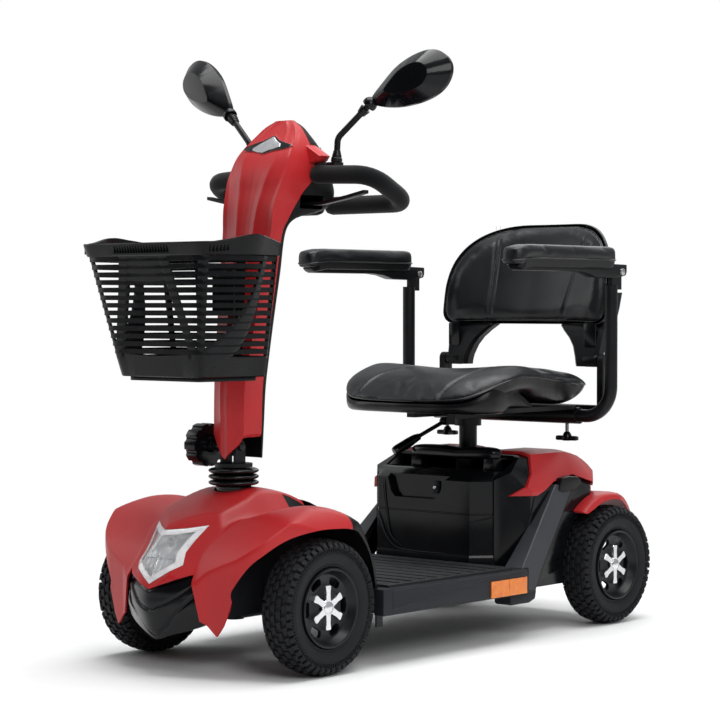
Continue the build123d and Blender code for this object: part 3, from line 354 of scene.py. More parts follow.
def lathe(name, profile, centre, axis, body, finish, sides=48, limit=35):
    """A turned piece: profile is (radius, along) pairs round an axis, "X", "Y", "Z" or a vector."""
    axis = Vector(AXES[axis] if isinstance(axis, str) else axis).normalized()
    one = axis.orthogonal().normalized()
    two = axis.cross(one)
    rows = [[Vector(centre) + (one * a + two * b) * r + axis * h for r, h in profile] for a,
        b in disc(0, 0, 1, sides)]
    return hoop(name, rows, body, finish, limit)


def extruded(face, way, low, high):
    """Rows of an outline carried along an axis: way "X" takes (y, z), "Y" (x, z), "Z" (x, y)."""
    return [[{"X": (h, a, b), "Y": (a, h, b), "Z": (a, b, h)}[way] for a, b in face]
        for h in (low, high)]


def slab(name, face, way, low, high, body, finish, bevel=0.0, segments=2):
    """A flat outline carried along an axis, with rounded edges."""
    mesh = outward(mesh_of(name, extruded(face, way, low, high), filled(2, len(face))))
    if bevel:
        round_edges(mesh, bevel, segments)
    return dress(name, mesh, body, finish)


def prism(face, way, low, high):
    """A cutter from a flat outline, for booleans."""
    return loose("cutter", sum(extruded(face, way, low, high), []), filled(2, len(face)))


def round_edges(mesh, width, segments=2, least=25):
    """Rounds the edges of a mesh that turn by more than an angle."""
    with editing(mesh) as work:
        edges = [e for e in work.edges if len(e.link_faces) == 2
            and e.calc_face_angle() > radians(least)]
        bmesh.ops.bevel(work, geom=edges, offset=width / 1000, segments=segments, profile=0.6,
            affect="EDGES", clamp_overlap=True)


def cut(thing, *tools, how="DIFFERENCE", solver="FAST"):
    """Cuts a closed piece with other closed pieces."""
    for tool in tools:
        modifier(thing, "BOOLEAN", operation=how, object=tool, solver=solver)
    apply_all(thing)


def cut_away(thing, *tools):
    """The same one tool at a time; the tools go."""
    for tool in tools:
        cut(thing, tool)
    drop(*tools)


def merged(name, meshes):
    """One mesh that holds several."""
    mesh = bpy.data.meshes.new(name)
    work = bmesh.new()
    for part in meshes:
        work.from_mesh(part)
    work.to_mesh(mesh)
    work.free()
    return mesh


def join(name, things, body, finish, limit=35):
    """Several pieces of one body and finish made one."""
    mesh = merged(name, [thing.data for thing in things])
    drop(*things)
    return dress(name, mesh, body, finish, limit)


def soft_least(a, b, k):
    """The smaller of two heights, blended over k."""
    h = max(k - abs(a - b), 0.0) / k
    return min(a, b) - h * h * k / 4


def soft_most(a, b, k):
    return -soft_least(-a, -b, k)


# ---- geometry-node trees
def node(tree, kind, inputs=None, **settings):
    """Adds a node with its settings and links; a node given as an input is its first output."""
    made = tree.nodes.new(kind)
    for key, value in settings.items():
        setattr(made, key, value)
    for key, value in (inputs or {}).items():
        if isinstance(value, bpy.types.Node):
            value = value.outputs[0]
        if isinstance(value, bpy.types.NodeSocket):
            tree.links.new(value, made.inputs[key])
        else:
            made.inputs[key].default_value = value
    return made


def new_tree(name, **inputs):
    """An empty node group with named inputs, and the sockets of its inputs."""
    tree = bpy.data.node_groups.new(name, "GeometryNodeTree")
    for label, kind in {**inputs, "Finish": "Material"}.items():
        tree.interface.new_socket(label, in_out="INPUT", socket_type="NodeSocket" + kind)
    tree.interface.new_socket("Geometry", in_out="OUTPUT", socket_type="NodeSocketGeometry")
    return tree, node(tree, "NodeGroupInput").outputs


def hand_out(tree, given, shapes):
    """Ends a tree: its copies are made real and given their finish."""
    real = node(tree, "GeometryNodeRealizeInstances", {0: shapes})
    dressed = node(tree, "GeometryNodeSetMaterial", {0: real, "Material": given["Finish"]})
    node(tree, "NodeGroupOutput", {0: dressed})
    return tree


def run_tree(tree, finish, **values):
    """The plain mesh that a tree makes with these input values."""
    values["Finish"] = finish.material
    holder = bare("holder", bpy.data.meshes.new("holder"))
    live = holder.modifiers.new("nodes", "NODES")
    live.node_group = tree
    for item in tree.interface.items_tree:
        if item.item_type == "SOCKET" and item.in_out == "INPUT" and item.name in values:
            live[item.identifier] = values[item.name]
    bpy.context.view_layer.update()
    mesh = plain_mesh(holder)
    live.node_group = None
    drop(holder)
    return mesh


def ring_tree():
    """Copies of an item evenly round the X axis, as tread blocks and ribs are."""
    tree, given = new_tree("ring_of_items", Item="Object", Count="Int", Phase="Float")
    spots = node(tree, "GeometryNodeMeshLine", {"Count": given["Count"], "Offset": (0, 0, 0)})
    order = node(tree, "GeometryNodeInputIndex")
    part = node(tree, "ShaderNodeMath", {0: order, 1: given["Count"]}, operation="DIVIDE")
    turn = node(tree, "ShaderNodeMath", {0: part, 1: 2 * pi, 2: given["Phase"]},
        operation="MULTIPLY_ADD")
    angle = node(tree, "ShaderNodeCombineXYZ", {"X": turn})
    item = node(tree, "GeometryNodeObjectInfo", {"Object": given["Item"]})
    copies = node(tree, "GeometryNodeInstanceOnPoints", {"Points": spots,
        "Instance": item.outputs["Geometry"], "Rotation": angle})
    return hand_out(tree, given, copies)


def path_tree():
    """Copies of an item along a curve at an even pitch, turned to follow it."""
    tree, given = new_tree("items_along_path", Path="Object", Item="Object", Pitch="Float")
    path = node(tree, "GeometryNodeObjectInfo", {"Object": given["Path"]})
    as_curve = node(tree, "GeometryNodeMeshToCurve", {0: path.outputs["Geometry"]})
    even = node(tree, "GeometryNodeResampleCurve", {0: as_curve, "Length": given["Pitch"]},
        mode="LENGTH")
    along = node(tree, "GeometryNodeInputTangent")
    turned = node(tree, "FunctionNodeAlignRotationToVector", {"Vector": along}, axis="X")
    item = node(tree, "GeometryNodeObjectInfo", {"Object": given["Item"]})
    copies = node(tree, "GeometryNodeInstanceOnPoints", {"Points": even,
        "Instance": item.outputs["Geometry"], "Rotation": turned})
    return hand_out(tree, given, copies)


def slat_tree():
    """Level bars stacked between a lower and an upper outline."""
    tree, given = new_tree("stacked_bars", Lower="Object", Upper="Object", Bars="Int",
        First="Float", Step="Float", Height="Float", Depth="Float")
    low, high = (node(tree, "GeometryNodeObjectInfo", {"Object": given[k]}).outputs["Geometry"]
        for k in ("Lower", "Upper"))
    low_run, high_run = (node(tree, "GeometryNodeMeshToCurve", {0: k}) for k in (low, high))
    size = node(tree, "GeometryNodeAttributeDomainSize", {0: high_run}, component="CURVE")
    stack = node(tree, "GeometryNodeDuplicateElements", {0: low_run, "Amount": given["Bars"]},
        domain="SPLINE")
    order = node(tree, "GeometryNodeInputIndex")
    same = node(tree, "ShaderNodeMath", {0: order, 1: size.outputs["Point Count"]},
        operation="MODULO")
    place = node(tree, "GeometryNodeInputPosition")
    above = node(tree, "GeometryNodeSampleIndex", {0: high_run, 1: place, "Index": same},
        data_type="FLOAT_VECTOR")
    rise = node(tree, "ShaderNodeMath", {0: stack.outputs[1], 1: given["Step"], 2: given["First"]},
        operation="MULTIPLY_ADD")
    mix = node(tree, "ShaderNodeMix", {"Factor": rise, 4: place, 5: above}, data_type="VECTOR")
    moved = node(tree, "GeometryNodeSetPosition", {0: stack, "Position": mix.outputs[1]})
    section = node(tree, "GeometryNodeCurvePrimitiveQuadrilateral",
        {"Width": given["Depth"], "Height": given["Height"]})
    bars = node(tree, "GeometryNodeCurveToMesh", {0: moved, 1: section})
    return hand_out(tree, given, bars)


# ---- finishes
class Finish:
    """A material and the record's slot it belongs to."""

    def __init__(self, material, slot):
        self.material, self.slot = material, slot


def colour(code):
    """sRGB hex to the linear colour that shaders use."""
    parts = [int(code[i:i + 2], 16) / 255 for i in (0, 2, 4)]
    return *(c / 12.92 if c <= 0.04045 else ((c + 0.055) / 1.055) ** 2.4 for c in parts), 1.0


def emptied(holder):
    """The cleared node tree of a material or a world."""
    holder.use_nodes = True
    holder.node_tree.nodes.clear()
    return holder.node_tree


def bump_node(tree, shader, height, distance):
    """Lifts a shader's surface by a pattern, `distance` metres high."""
    bump = node(tree, "ShaderNodeBump", {"Strength": 1.0, "Distance": distance, "Height": height})
    tree.links.new(bump.outputs[0], shader.inputs["Normal"])


def surface(name, slot, low, high, rough, spread=0.08, mottle=60.0, grain=1.0, depth=0.03,
        kind="noise", coat=(), **constants):
    """A finish in layers: colour that drifts over `mottle` mm, a grain every `grain` mm that lifts
    the surface by `depth` mm, and roughness that drifts by `spread` with them."""
    material = bpy.data.materials.new(name)
    tree = emptied(material)
    spot = node(tree, "ShaderNodeTexCoord").outputs["Object"]
    drift = node(tree, "ShaderNodeTexNoise", {"Vector": spot, "Scale": 1000 / mottle, "Detail": 4.0,
        "Roughness": 0.6})
    tone = node(tree, "ShaderNodeMapRange", {"Value": drift, "From Min": 0.3, "From Max": 0.7})
    tint = node(tree, "ShaderNodeMix", {"Factor": tone, 6: colour(low), 7: colour(high)},
        data_type="RGBA")
    dull = node(tree, "ShaderNodeMapRange", {"Value": drift, "From Min": 0.3, "From Max": 0.7,
        "To Min": rough - spread, "To Max": rough + spread})
    shader = node(tree, "ShaderNodeBsdfPrincipled", {"Base Color": tint.outputs[2],
        "Roughness": dull})
    node(tree, "ShaderNodeOutputMaterial", {0: shader})
    if kind == "cells":
        fine = node(tree, "ShaderNodeTexVoronoi", {"Vector": spot, "Scale": 1000 / grain},
            feature="SMOOTH_F1")
    else:
        fine = node(tree, "ShaderNodeTexNoise", {"Vector": spot, "Scale": 1000 / grain,
            "Detail": 2.0})
    bump_node(tree, shader, fine, depth / 1000)
    constants.update(zip(("Coat_Weight", "Coat_Roughness"), coat))
    for key, value in constants.items():
        if key == "spec":
            key = "Specular IOR Level"
        shader.inputs[key.replace("_", " ")].default_value = value
    return Finish(material, slot)


# moulded ABS shell, satin two-coat paint: a deep red that drifts a little, under a soft sheen
RED = surface("satin_painted_abs", "red_shell", "AA1B1F", "B42427", 0.40, 0.05, 130, 0.9, 0.012,
    coat=(0.10, 0.28), spec=0.32)
# polished ABS moulding: near black with long soft reflections and slight moulding ripple
GLOSS = surface("polished_black_abs", "gloss_black", "08090B", "0C0D11", 0.18, 0.05, 90, 14.0, 0.02,
    coat=(0.06, 0.12), spec=0.22)
# moulded ABS with a fine etched texture: dark grey-black panels with a quiet shine
SATIN = surface("etched_black_abs", "gloss_black", "090A0C", "0E0F12", 0.38, 0.06, 80, 0.9, 0.02,
    spec=0.2)
# moulded polypropylene, spark-eroded grain: dull dark grey skirts and brackets
MATTE = surface("grained_black_polypropylene", "matte_black", "1A1B20", "22242A", 0.52, 0.06, 70,
    1.1, 0.05, spec=0.25)
# grained polypropylene trim band: mid grey, the lightest of the dark mouldings
BAND = surface("grained_grey_trim_band", "matte_black", "2A2D31", "33363B", 0.5, 0.06, 70, 1.1,
    0.05)
# tyre compound: dusty black rubber with a dry surface
TYRE = surface("vulcanised_tyre_rubber", "tyre", "0D0E11", "17181C", 0.66, 0.08, 26, 1.6, 0.05,
    spec=0.28)
# moulded rubber gaiter and feet: black and oily-smooth
RUBBER = surface("moulded_rubber", "rubber", "0A0A0C", "101013", 0.26, 0.06, 30, 3.0, 0.03,
    spec=0.35)
# expanded foam grip: dead black, finely porous
FOAM = surface("cellular_foam_grip", "foam", "07080A", "0D0E11", 0.82, 0.06, 20, 0.8, 0.12,
    kind="cells", Sheen_Weight=0.15, spec=0.12)
# coated vinyl seat cover: black with a pebbled leather grain and a broad soft shine
VINYL = surface("pebbled_seat_vinyl", "vinyl", "090A0E", "0E1015", 0.36, 0.05, 55, 2.2, 0.08,
    kind="cells", spec=0.40)
# piping cord covered in the same vinyl, stretched smooth: black with a thin bright line
PIPING = surface("stretched_vinyl_piping", "vinyl", "0A0B0D", "101115", 0.24, 0.05, 40, 1.2, 0.02,
    coat=(0.15, 0.15), spec=0.35)
# the cushion's lower band: the same vinyl a shade darker and less shiny, painted shade on its unlit
# underside
SHADED_VINYL = surface("painted_shade_side_vinyl", "vinyl", "060608", "0A0A0D", 0.30, 0.05, 60, 2.2, 0.06,
    kind="cells", coat=(0.05, 0.2), spec=0.25)
# bonded nylon thread: dark grey, slightly shiny
THREAD = surface("bonded_nylon_thread", "vinyl", "2A2C31", "3A3C42", 0.45, 0.05, 8, 0.5, 0.05)
# powder-coated steel tube and plate: black with orange peel
POWDER = surface("powder_coated_steel", "frame_steel", "0C0D0F", "131417", 0.36, 0.06, 60, 2.5,
    0.04, spec=0.2)
# zinc-plated steel: pale grey metal, brushed dull
ZINC = surface("zinc_plated_steel", "bright_steel", "A9ABAE", "BFC1C3", 0.34, 0.08, 12, 0.7, 0.02,
    Metallic=1.0)
# cast and machined aluminium, lacquered: bright hub stars
BRIGHT = surface("machined_aluminium", "aluminium", "D4D5D8", "E6E7E9", 0.24, 0.06, 15, 0.6, 0.015,
    Metallic=1.0)
# cast aluminium housing left raw: dull grey, pitted
CAST = surface("sand_cast_aluminium", "aluminium", "7C7F83", "909397", 0.5, 0.08, 20, 1.2, 0.08,
    Metallic=1.0)
# cast rim, black lacquer: satin black with soft highlights
RIM = surface("lacquered_cast_rim", "rim", "0E0F12", "15161A", 0.33, 0.06, 40, 2.0, 0.03, spec=0.28)
# moulded polypropylene basket: black with a faint blue and a semi-gloss skin
BASKET = surface("moulded_basket_polypropylene", "matte_black", "060709", "0A0B0E", 0.27, 0.06, 50,
    1.4, 0.03, spec=0.2)
# vapour-coated reflector bowl behind the lamp: bright silver with fine flutes
BOWL = surface("vapour_coated_reflector", "lens", "ECEDEF", "F8F9FA", 0.34, 0.06, 9, 4.0, 0.1,
    Metallic=0.25)
# battery case of polypropylene copolymer: flat dark grey
CELLS = surface("battery_polypropylene", "battery", "26282C", "303238", 0.5, 0.05, 50, 1.5, 0.03)
# front-silvered safety glass, its face almost perfect
MIRROR = surface("silvered_mirror_glass", "mirror", "C9CDD2", "D2D6DA", 0.03, 0.01, 80, 40, 0.002,
    Metallic=1.0)
# frosted acrylic rim of the lamp: milky white
FROST = surface("frosted_acrylic", "lens", "D6D3D6", "E9E7E9", 0.30, 0.05, 12, 1.5, 0.03,
    coat=(0.6, 0.1), Subsurface_Weight=0.15, Subsurface_Scale=0.004)
# moulded acrylic lens: clear, with flutes every 6 mm that bend what lies behind
LENS = surface("fluted_clear_acrylic", "lens", "FFFFFF", "F6F8FA", 0.05, 0.02, 40, 6.0, 0.10,
    Transmission_Weight=0.94, IOR=1.49)
# pressed rubber mat: flat black with dimples every 4 mm between the ribs
MAT = surface("pressed_rubber_mat", "rubber", "121316", "1B1C20", 0.6, 0.06, 45, 4.0, 0.25,
    kind="cells")
# prismatic acrylic reflector: glowing orange, under the grid of prisms that prisms() moulds
AMBER = surface("prismatic_amber_acrylic", "amber", "D96A08", "EA8210", 0.30, 0.05, 14, 3.0, 0.05,
    coat=(0.25, 0.08))


def prisms(finish, pitch=3.0, depth=0.0006):
    """Moulds a grid of prisms every `pitch` mm into a finish, in place of its grain."""
    tree = finish.material.node_tree
    shader = next(n for n in tree.nodes if n.type == "BSDF_PRINCIPLED")
    spot = node(tree, "ShaderNodeTexCoord").outputs["Object"]
    prism_cells = node(tree, "ShaderNodeTexVoronoi", {"Vector": spot, "Scale": 1000 / pitch,
        "Randomness": 0.0}, distance="CHEBYCHEV")
    bump_node(tree, shader, prism_cells, depth)


prisms(AMBER)


def finish_node(finish, *names):
    """Gives CAD nodes whose shape is right a better finish."""
    for name in names:
        holder = frame["nodes"][name]
        for found in [holder, *holder.children_recursive]:
            if found.type == "MESH":
                found.data.materials.clear()
                found.data.materials.append(finish.material)


# ---- room, lamps and camera
def studio(size=12.0):
    """White sweep: a floor that keeps the object's shadow and fades to plain white."""
    mesh = bpy.data.meshes.new("floor")
    mesh.from_pydata([(a, b, 0) for a, b in box(-size, size, -size, size)], [], [(0, 1, 2, 3)])
    floor = bare("floor", mesh)
    material = bpy.data.materials.new("matt_white_paper")
    tree = emptied(material)
    spot = node(tree, "ShaderNodeTexCoord").outputs["Object"]
    grain = node(tree, "ShaderNodeTexNoise", {"Vector": spot, "Scale": 30.0})
    tone = node(tree, "ShaderNodeMapRange", {"Value": grain, "To Min": 0.90, "To Max": 0.92})
    paper = node(tree, "ShaderNodeBsdfDiffuse", {"Color": tone})
    white = node(tree, "ShaderNodeEmission", {"Color": (1, 1, 1, 1), "Strength": 1.0})
    ray = node(tree, "ShaderNodeLightPath").outputs
    seen = ray["Is Camera Ray"]
    for kind in ("Is Glossy Ray", "Is Transmission Ray"):
        seen = node(tree, "ShaderNodeMath", {0: seen, 1: ray[kind]}, operation="MAXIMUM")
    reach = node(tree, "ShaderNodeVectorMath", {0: spot}, operation="LENGTH").outputs["Value"]
    fade = node(tree, "ShaderNodeMapRange", {"Value": reach, "From Min": 0.75, "From Max": 1.5},
        interpolation_type="SMOOTHSTEP")
    amount = node(tree, "ShaderNodeMath", {0: fade, 1: seen}, operation="MULTIPLY")
    mix = node(tree, "ShaderNodeMixShader", {0: amount, 1: paper, 2: white})
    node(tree, "ShaderNodeOutputMaterial", {0: mix})
    floor.data.materials.append(material)


def room():
    """Soft surroundings, darker below and in front, and plain white to the camera."""
    world = bpy.data.worlds.new("room")
    bpy.context.scene.world = world
    tree = emptied(world)
    spot = node(tree, "ShaderNodeTexCoord").outputs["Generated"]
    height = node(tree, "ShaderNodeSeparateXYZ", {0: spot}).outputs
    rise = node(tree, "ShaderNodeMapRange", {"Value": height["Z"], "From Min": -0.2,
        "From Max": 0.9, "To Min": 0.30, "To Max": 0.60})
    flag = node(tree, "ShaderNodeMapRange", {"Value": height["Y"], "From Min": -0.9,
        "From Max": -0.1, "To Min": 0.12, "To Max": 1.0}, interpolation_type="SMOOTHSTEP")
    level = node(tree, "ShaderNodeMath", {0: rise, 1: flag}, operation="MULTIPLY")
    lit = node(tree, "ShaderNodeBackground", {"Color": (0.97, 0.985, 1.0, 1), "Strength": level})
    plain = node(tree, "ShaderNodeBackground", {"Color": (1, 1, 1, 1), "Strength": 1.0})
    ray = node(tree, "ShaderNodeLightPath").outputs["Is Camera Ray"]
    mix = node(tree, "ShaderNodeMixShader", {0: ray, 1: lit, 2: plain})
    node(tree, "ShaderNodeOutputWorld", {0: mix})


def aimed(name, data, place, aim):
    """A lamp or camera at a place in metres, turned towards another."""
    holder = bare(name, data)
    holder.location = place
    holder.rotation_mode = "QUATERNION"
    holder.rotation_quaternion = (Vector(aim) - Vector(place)).to_track_quat("-Z", "Y")
    return holder


def lights_and_camera():
    for name, place, size, power in (("key", (3.2, -1.9, 2.4), (1.8, 1.8), 46),
            ("fill", (-3.2, -1.6, 1.8), (1.6, 2.4), 22), ("top", (0.2, 0.1, 3.2), (2.6, 2.6), 104),
            ("back", (-0.8, 3.2, 2.2), (2.6, 1.6), 24)):
        lamp = bpy.data.lights.new(name, "AREA")
        lamp.shape, lamp.energy = "RECTANGLE", power
        lamp.size, lamp.size_y = size
        aimed(name, lamp, place, (0, 0, 0.5))
    view = bpy.data.cameras.new("camera")
    view.sensor_width, view.lens = 36.0, 111.46
    view.clip_start, view.clip_end = 0.1, 60
    scene = bpy.context.scene
    scene.camera = aimed("camera", view, at(2714.99, -3165.15, 621.90), at(0, -84.83, 519.22))
    scene.view_settings.view_transform = "Standard"


studio()
room()
lights_and_camera()

# ---- wheels
TYRE_R, TYRE_HALF, RIM_R = 115.0, 30.0, 67.5
TRACK = 200.0  # from the middle to the middle of a wheel
ring_of_items = ring_tree()
along_path = path_tree()
stacked_bars = slat_tree()


def block_item(x, width, length, radius, height, lean, skew=0.0):
    """One tread block at the top of the tyre, rounded at its edges; x is across the tread."""
    points = []
    for h, shrink in ((-3.0, 1.08), (height - 0.9, 1.0), (height, 0.8)):
        for u, v in ((-1, -1), (0, -1.06), (1, -1), (1, 1), (0, 0.94), (-1, 1)):
            across = u * width / 2 * shrink
            along = v * length / 2 * shrink + skew * u
            points.append((x + across * cos(lean) + h * sin(lean), along,
                radius + h * cos(lean) - across * sin(lean)))
    return loose("block", points, filled(3, 6), local)


def tyre(side, centre, where, node_name):
    """Carcass, tread blocks, shoulder lugs and wall ribs of one tyre."""
    half, shoulder = TYRE_HALF, TYRE_R - 11.5
    wall = [(RIM_R + 0.2, half - 7.5), (RIM_R + 2.5, half - 4.6), (RIM_R + 5.0, half - 4.9),
        (RIM_R + 7, half - 3.0), (RIM_R + 14, half - 0.9), (RIM_R + 19, half - 0.3),
        (RIM_R + 21, half + 0.2), (RIM_R + 22.5, half + 0.2), (RIM_R + 24.5, half - 0.8),
        (RIM_R + 30, half - 1.6), (shoulder, half - 4.5), (TYRE_R - 7.5, half - 9),
        (TYRE_R - 4.6, half - 17), (TYRE_R - 3.6, 0)]
    profile = wall + [(r, -h) for r, h in reversed(wall[:-1])] + [(RIM_R + 0.2, 0)]
    carcass = lathe(f"tyre_carcass_{where}", [(r, side * h) for r, h in profile], centre, "X",
        where, TYRE, sides=96)
    items = [(38, phase * 2 * pi / 38, (x, width, length, TYRE_R - 4.6 - abs(x) ** 2 * 0.006, 4.4,
        x * 0.012, 0.9)) for x, width, length, phase in ((0, 9.0, 13.2, 0.0),
        (-11.4, 9.0, 12.6, 0.5), (11.4, 9.0, 12.6, 0.5), (-21.6, 7.8, 12.2, 0.0),
        (21.6, 7.8, 12.2, 0.0))]
    for edge in (-1, 1):
        items += [(48, 0.03, (edge * 27.2, 9.0, 9.4, TYRE_R - 11.0, 3.8, edge * 0.78)),
            (112, 0.0, (edge * 29.0, 9.0, 2.6, TYRE_R - 16.5, 1.4, edge * 1.35))]
    meshes = []
    for count, phase, shape in items:
        item = block_item(*shape)
        meshes.append(run_tree(ring_of_items, TYRE, Item=item, Count=count, Phase=phase))
        drop(item)
    dress(f"tyre_tread_{where}", carried(merged("tread", meshes), centre), where, TYRE, 30)
    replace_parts(carcass, node_name)


def star(side, centre, where):
    """Bright six-armed hub star standing on the rim's disc, with its cap and three screws."""
    arms, out, face = 6, 38.0, 22.0
    _, y, axle_z = centre
    arm = [(13.0, -5.8), (27.0, -4.9), (out - 2, -6.6), (out, -4.8)]
    arm += [(r, -w) for r, w in reversed(arm)]
    outline = []
    for k in range(arms):
        turn = 2 * pi * (k + 0.5) / arms
        outline += [(r * cos(turn) - w * sin(turn), r * sin(turn) + w * cos(turn)) for r, w in arm]
    rows = []
    for h, inner in ((face - 9, 0.0), (face - 1.2, 0.0), (face, 0.9)):
        rows.append([(side * (TRACK + h), y + a * (1 - inner / hypot(a, b)),
            axle_z + b * (1 - inner / hypot(a, b))) for a, b in outline])
    skin(f"hub_star_{where}", rows, where, BRIGHT, limit=28)
    cap = [(0.0, face + 4.2), (7.0, face + 3.6), (10.5, face + 1.4), (11.0, face - 4),
        (0, face - 4)]
    lathe(f"hub_cap_{where}", [(r, side * h) for r, h in cap], centre, "X", where, BRIGHT, sides=36)
    screws = []
    for k in range(3):
        turn = 2 * pi * (k + 0.25) / 3
        spot = (side * TRACK, y + 27 * cos(turn), axle_z + 27 * sin(turn))
        head = [(0.0, 17.6), (2.6, 17.2), (3.4, 15.8), (3.4, 13), (0, 13)]
        screws.append(lathe("screw", [(r, side * h) for r, h in head], spot, "X", where, ZINC, 12))
    join(f"hub_screws_{where}", screws, where, ZINC)


def rim(side, centre, where, node_name):
    """Lacquered cast rim: stepped barrel, dished disc with six kidney slots, hub boss."""
    profile = [(RIM_R - 0.2, -27.5), (RIM_R - 0.2, -22), (RIM_R - 4, -19), (RIM_R - 4, 19),
        (RIM_R - 0.2, 22), (RIM_R - 0.2, 28.6), (RIM_R - 2.4, 29.4), (RIM_R - 4.4, 28.2),
        (RIM_R - 8.5, 20.5), (RIM_R - 12, 15.5), (52, 14.4), (34, 13.6), (24, 16.2), (18, 16.8),
        (18, -22), (14, -24), (9.2, -24), (9.2, -21), (13, -21), (16, 5.6), (30, 6.4), (52, 7.2),
        (RIM_R - 12, 8), (RIM_R - 9, -16), (RIM_R - 5, -27.5)]
    body = lathe(f"rim_{where}", [(r, side * h) for r, h in profile], centre, "X", where, RIM, 72)
    x, y, z = centre
    kidney = [(-0.26, 40), (-0.30, 46), (-0.24, 52), (0, 53.5), (0.24, 52), (0.30, 46), (0.26, 40),
        (0, 38.5)]
    slots = []
    for k in range(6):
        turn = 2 * pi * k / 6
        face = [(y + r * cos(turn + a), z + r * sin(turn + a)) for a, r in kidney]
        slots.append(prism(face, "X", x, x + side * 24.0))
    cut(body, *slots, solver="EXACT")
    drop(*slots)
    body.data.set_sharp_from_angle(angle=radians(30))
    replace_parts(body, node_name)


for _name, _side in SIDES.items():
    for _place, _y in (("front", -AXLE), ("rear", AXLE)):
        _centre, _where = (_side * TRACK, _y, TYRE_R), f"{_place}_wheel_{_name}"
        tyre(_side, _centre, _where, f"{_place}_tyre_{_name}")
        rim(_side, _centre, _where, f"{_place}_rim_{_name}")
        star(_side, _centre, _where)


# ---- front cowl
ridge_z = lookup([(-623, 108), (-620, 132), (-616, 158), (-594, 205), (-578, 246), (-556, 260),
    (-520, 276), (-460, 296), (-418, 306.5), (-380, 305), (-340, 296), (-299, 281)])
fender_z = lookup([(-612, 118), (-604, 138), (-593, 160), (-566, 204), (-534, 236), (-495, 263),
    (-460, 277), (-430, 284), (-388, 281), (-354, 267), (-331, 248), (-313, 226), (-298, 203),
    (-287, 181), (-279, 148), (-275, 108)])
shoulder_x = lookup([(-570, 60), (-534, 62), (-500, 67), (-460, 69), (-418, 62), (-380, 58),
    (-340, 56), (-299, 53)])
fender_across = lookup([(60, 246), (84, 257), (100, 263), (120, 271), (140, 279), (155, 284.5),
    (170, 286.5), (188, 283), (204, 273), (218, 259), (226, 247), (230, 238)])
cowl_edge = resampled(smooth_run([(x, y, 0) for x, y in ((0, -622), (38, -609), (75, -595),
    (100, -581.5), (130, -573.5), (155, -566), (176, -553), (192, -538), (205, -514), (215, -488),
    (223, -458), (227, -430), (228, -400), (222, -352), (214, -318), (209, -285), (207, -262))], 8,
    sharp=(3,)), 150)
HOOD_END = -299


def hood_top(x, y):
    """Height of the hood: a flat-topped ridge with crested shoulders and a faceted nose."""
    ridge = ridge_z(y) - 3.2 * (x / 50) ** 2
    slope = ridge_z(y) - 4.0 - (x - shoulder_x(y)) * 1.25
    facet = 246 - (2411 * x - 3829 * (y + 578)) / 2956
    return soft_least(soft_least(ridge, slope, 3.0), facet, 4.0)


def fender_top(x, y):
    """Height of a front fender: side curve and cross curve together, with a soft crown."""
    return soft_least(fender_z(y), fender_across(x), 12.0)


def cowl_top(x, y):
    """Height of the painted front body."""
    x = abs(x)
    if y > HOOD_END:
        return fender_top(max(x, 60), y)
    if x < 50:
        return soft_most(hood_top(x, y), min(fender_top(60, y), 205), 5.0)
    return soft_most(hood_top(x, y), fender_top(x, y), 4.0)


def front_skin(across=64, down=24):
    """Half of the front body as rows, from the middle line out to the edge and down."""
    rows = []
    inner = lookup([(0, -600), (0.10, -588), (0.3, -560), (0.55, -470), (0.8, -340), (1, -262)], 10)
    for i, edge in enumerate(cowl_edge):
        spine_y = max(min(inner(i / (len(cowl_edge) - 1)), -262), edge.y + 4)
        row = []
        for j in range(across + 1):
            t = 1 - (1 - j / across) ** 1.25
            x, y = edge.x * t, spine_y + (edge.y - spine_y) * t
            row.append((x, y, cowl_top(x, y)))
        top = row[-1][2]
        for k in range(1, down + 1):
            z = top + (66 - top) * (k / down) ** 1.15
            flare = 1.6 * min(1.0, (top - z) / 5.0)
            out = Vector((edge.x, edge.y * 0.25 + 105, 0)).normalized() if edge.x > 1 else Vector()
            row.append((edge.x + out.x * flare, edge.y + min(out.y, 0) * flare, z))
        rows.append(row)
    return rows


def shelled(name, mesh, thickness, axis, sign, **settings):
    """A shell of an open skin, whose faces are first turned to look along an axis."""
    with editing(mesh) as work:
        bmesh.ops.recalc_face_normals(work, faces=work.faces)
        if sum(f.normal[axis] * f.calc_area() for f in work.faces) * sign < 0:
            bmesh.ops.reverse_faces(work, faces=work.faces)
    shell = bare(name, mesh)
    modifier(shell, "SOLIDIFY", thickness=thickness, offset=-1.0, **settings)
    return apply_all(shell)


def front_shell():
    """Closed 3.5 mm shell of the whole front body, before it is cut into its pieces."""
    half = front_skin()
    rows = [mirrored(row) for row in half[:0:-1]] + half
    mesh = mesh_of("front_shell", rows, grid_faces(len(rows), len(rows[0])))
    with editing(mesh) as work:
        bmesh.ops.remove_doubles(work, verts=work.verts, dist=WELD)
        bmesh.ops.dissolve_degenerate(work, edges=work.edges, dist=1e-6)
    return shelled("front_shell", mesh, 0.0035, 2, 1, use_even_offset=False)


well_line = [(-556, 0), (-556, 90)] + smooth_line([(-568, 120), (-570, 150), (-556, 192),
    (-537, 214), (-509, 232), (-482, 241), (-445, 246.5), (-403, 246.5), (-366, 243.5), (-340, 236),
    (-318, 218), (-303, 198), (-292, 174), (-284, 142), (-280, 100)], 6) + [(-280, 0)]
LAMP = both([(0, 244), (30, 246.5), (61, 252), (52, 228), (47.5, 208), (53, 188), (26, 170.5),
    (0, 155)])
BUMPER = both([(0, 147), (38, 161), (75, 174.5), (84, 130), (93, 84), (66, 68), (0, 60)])


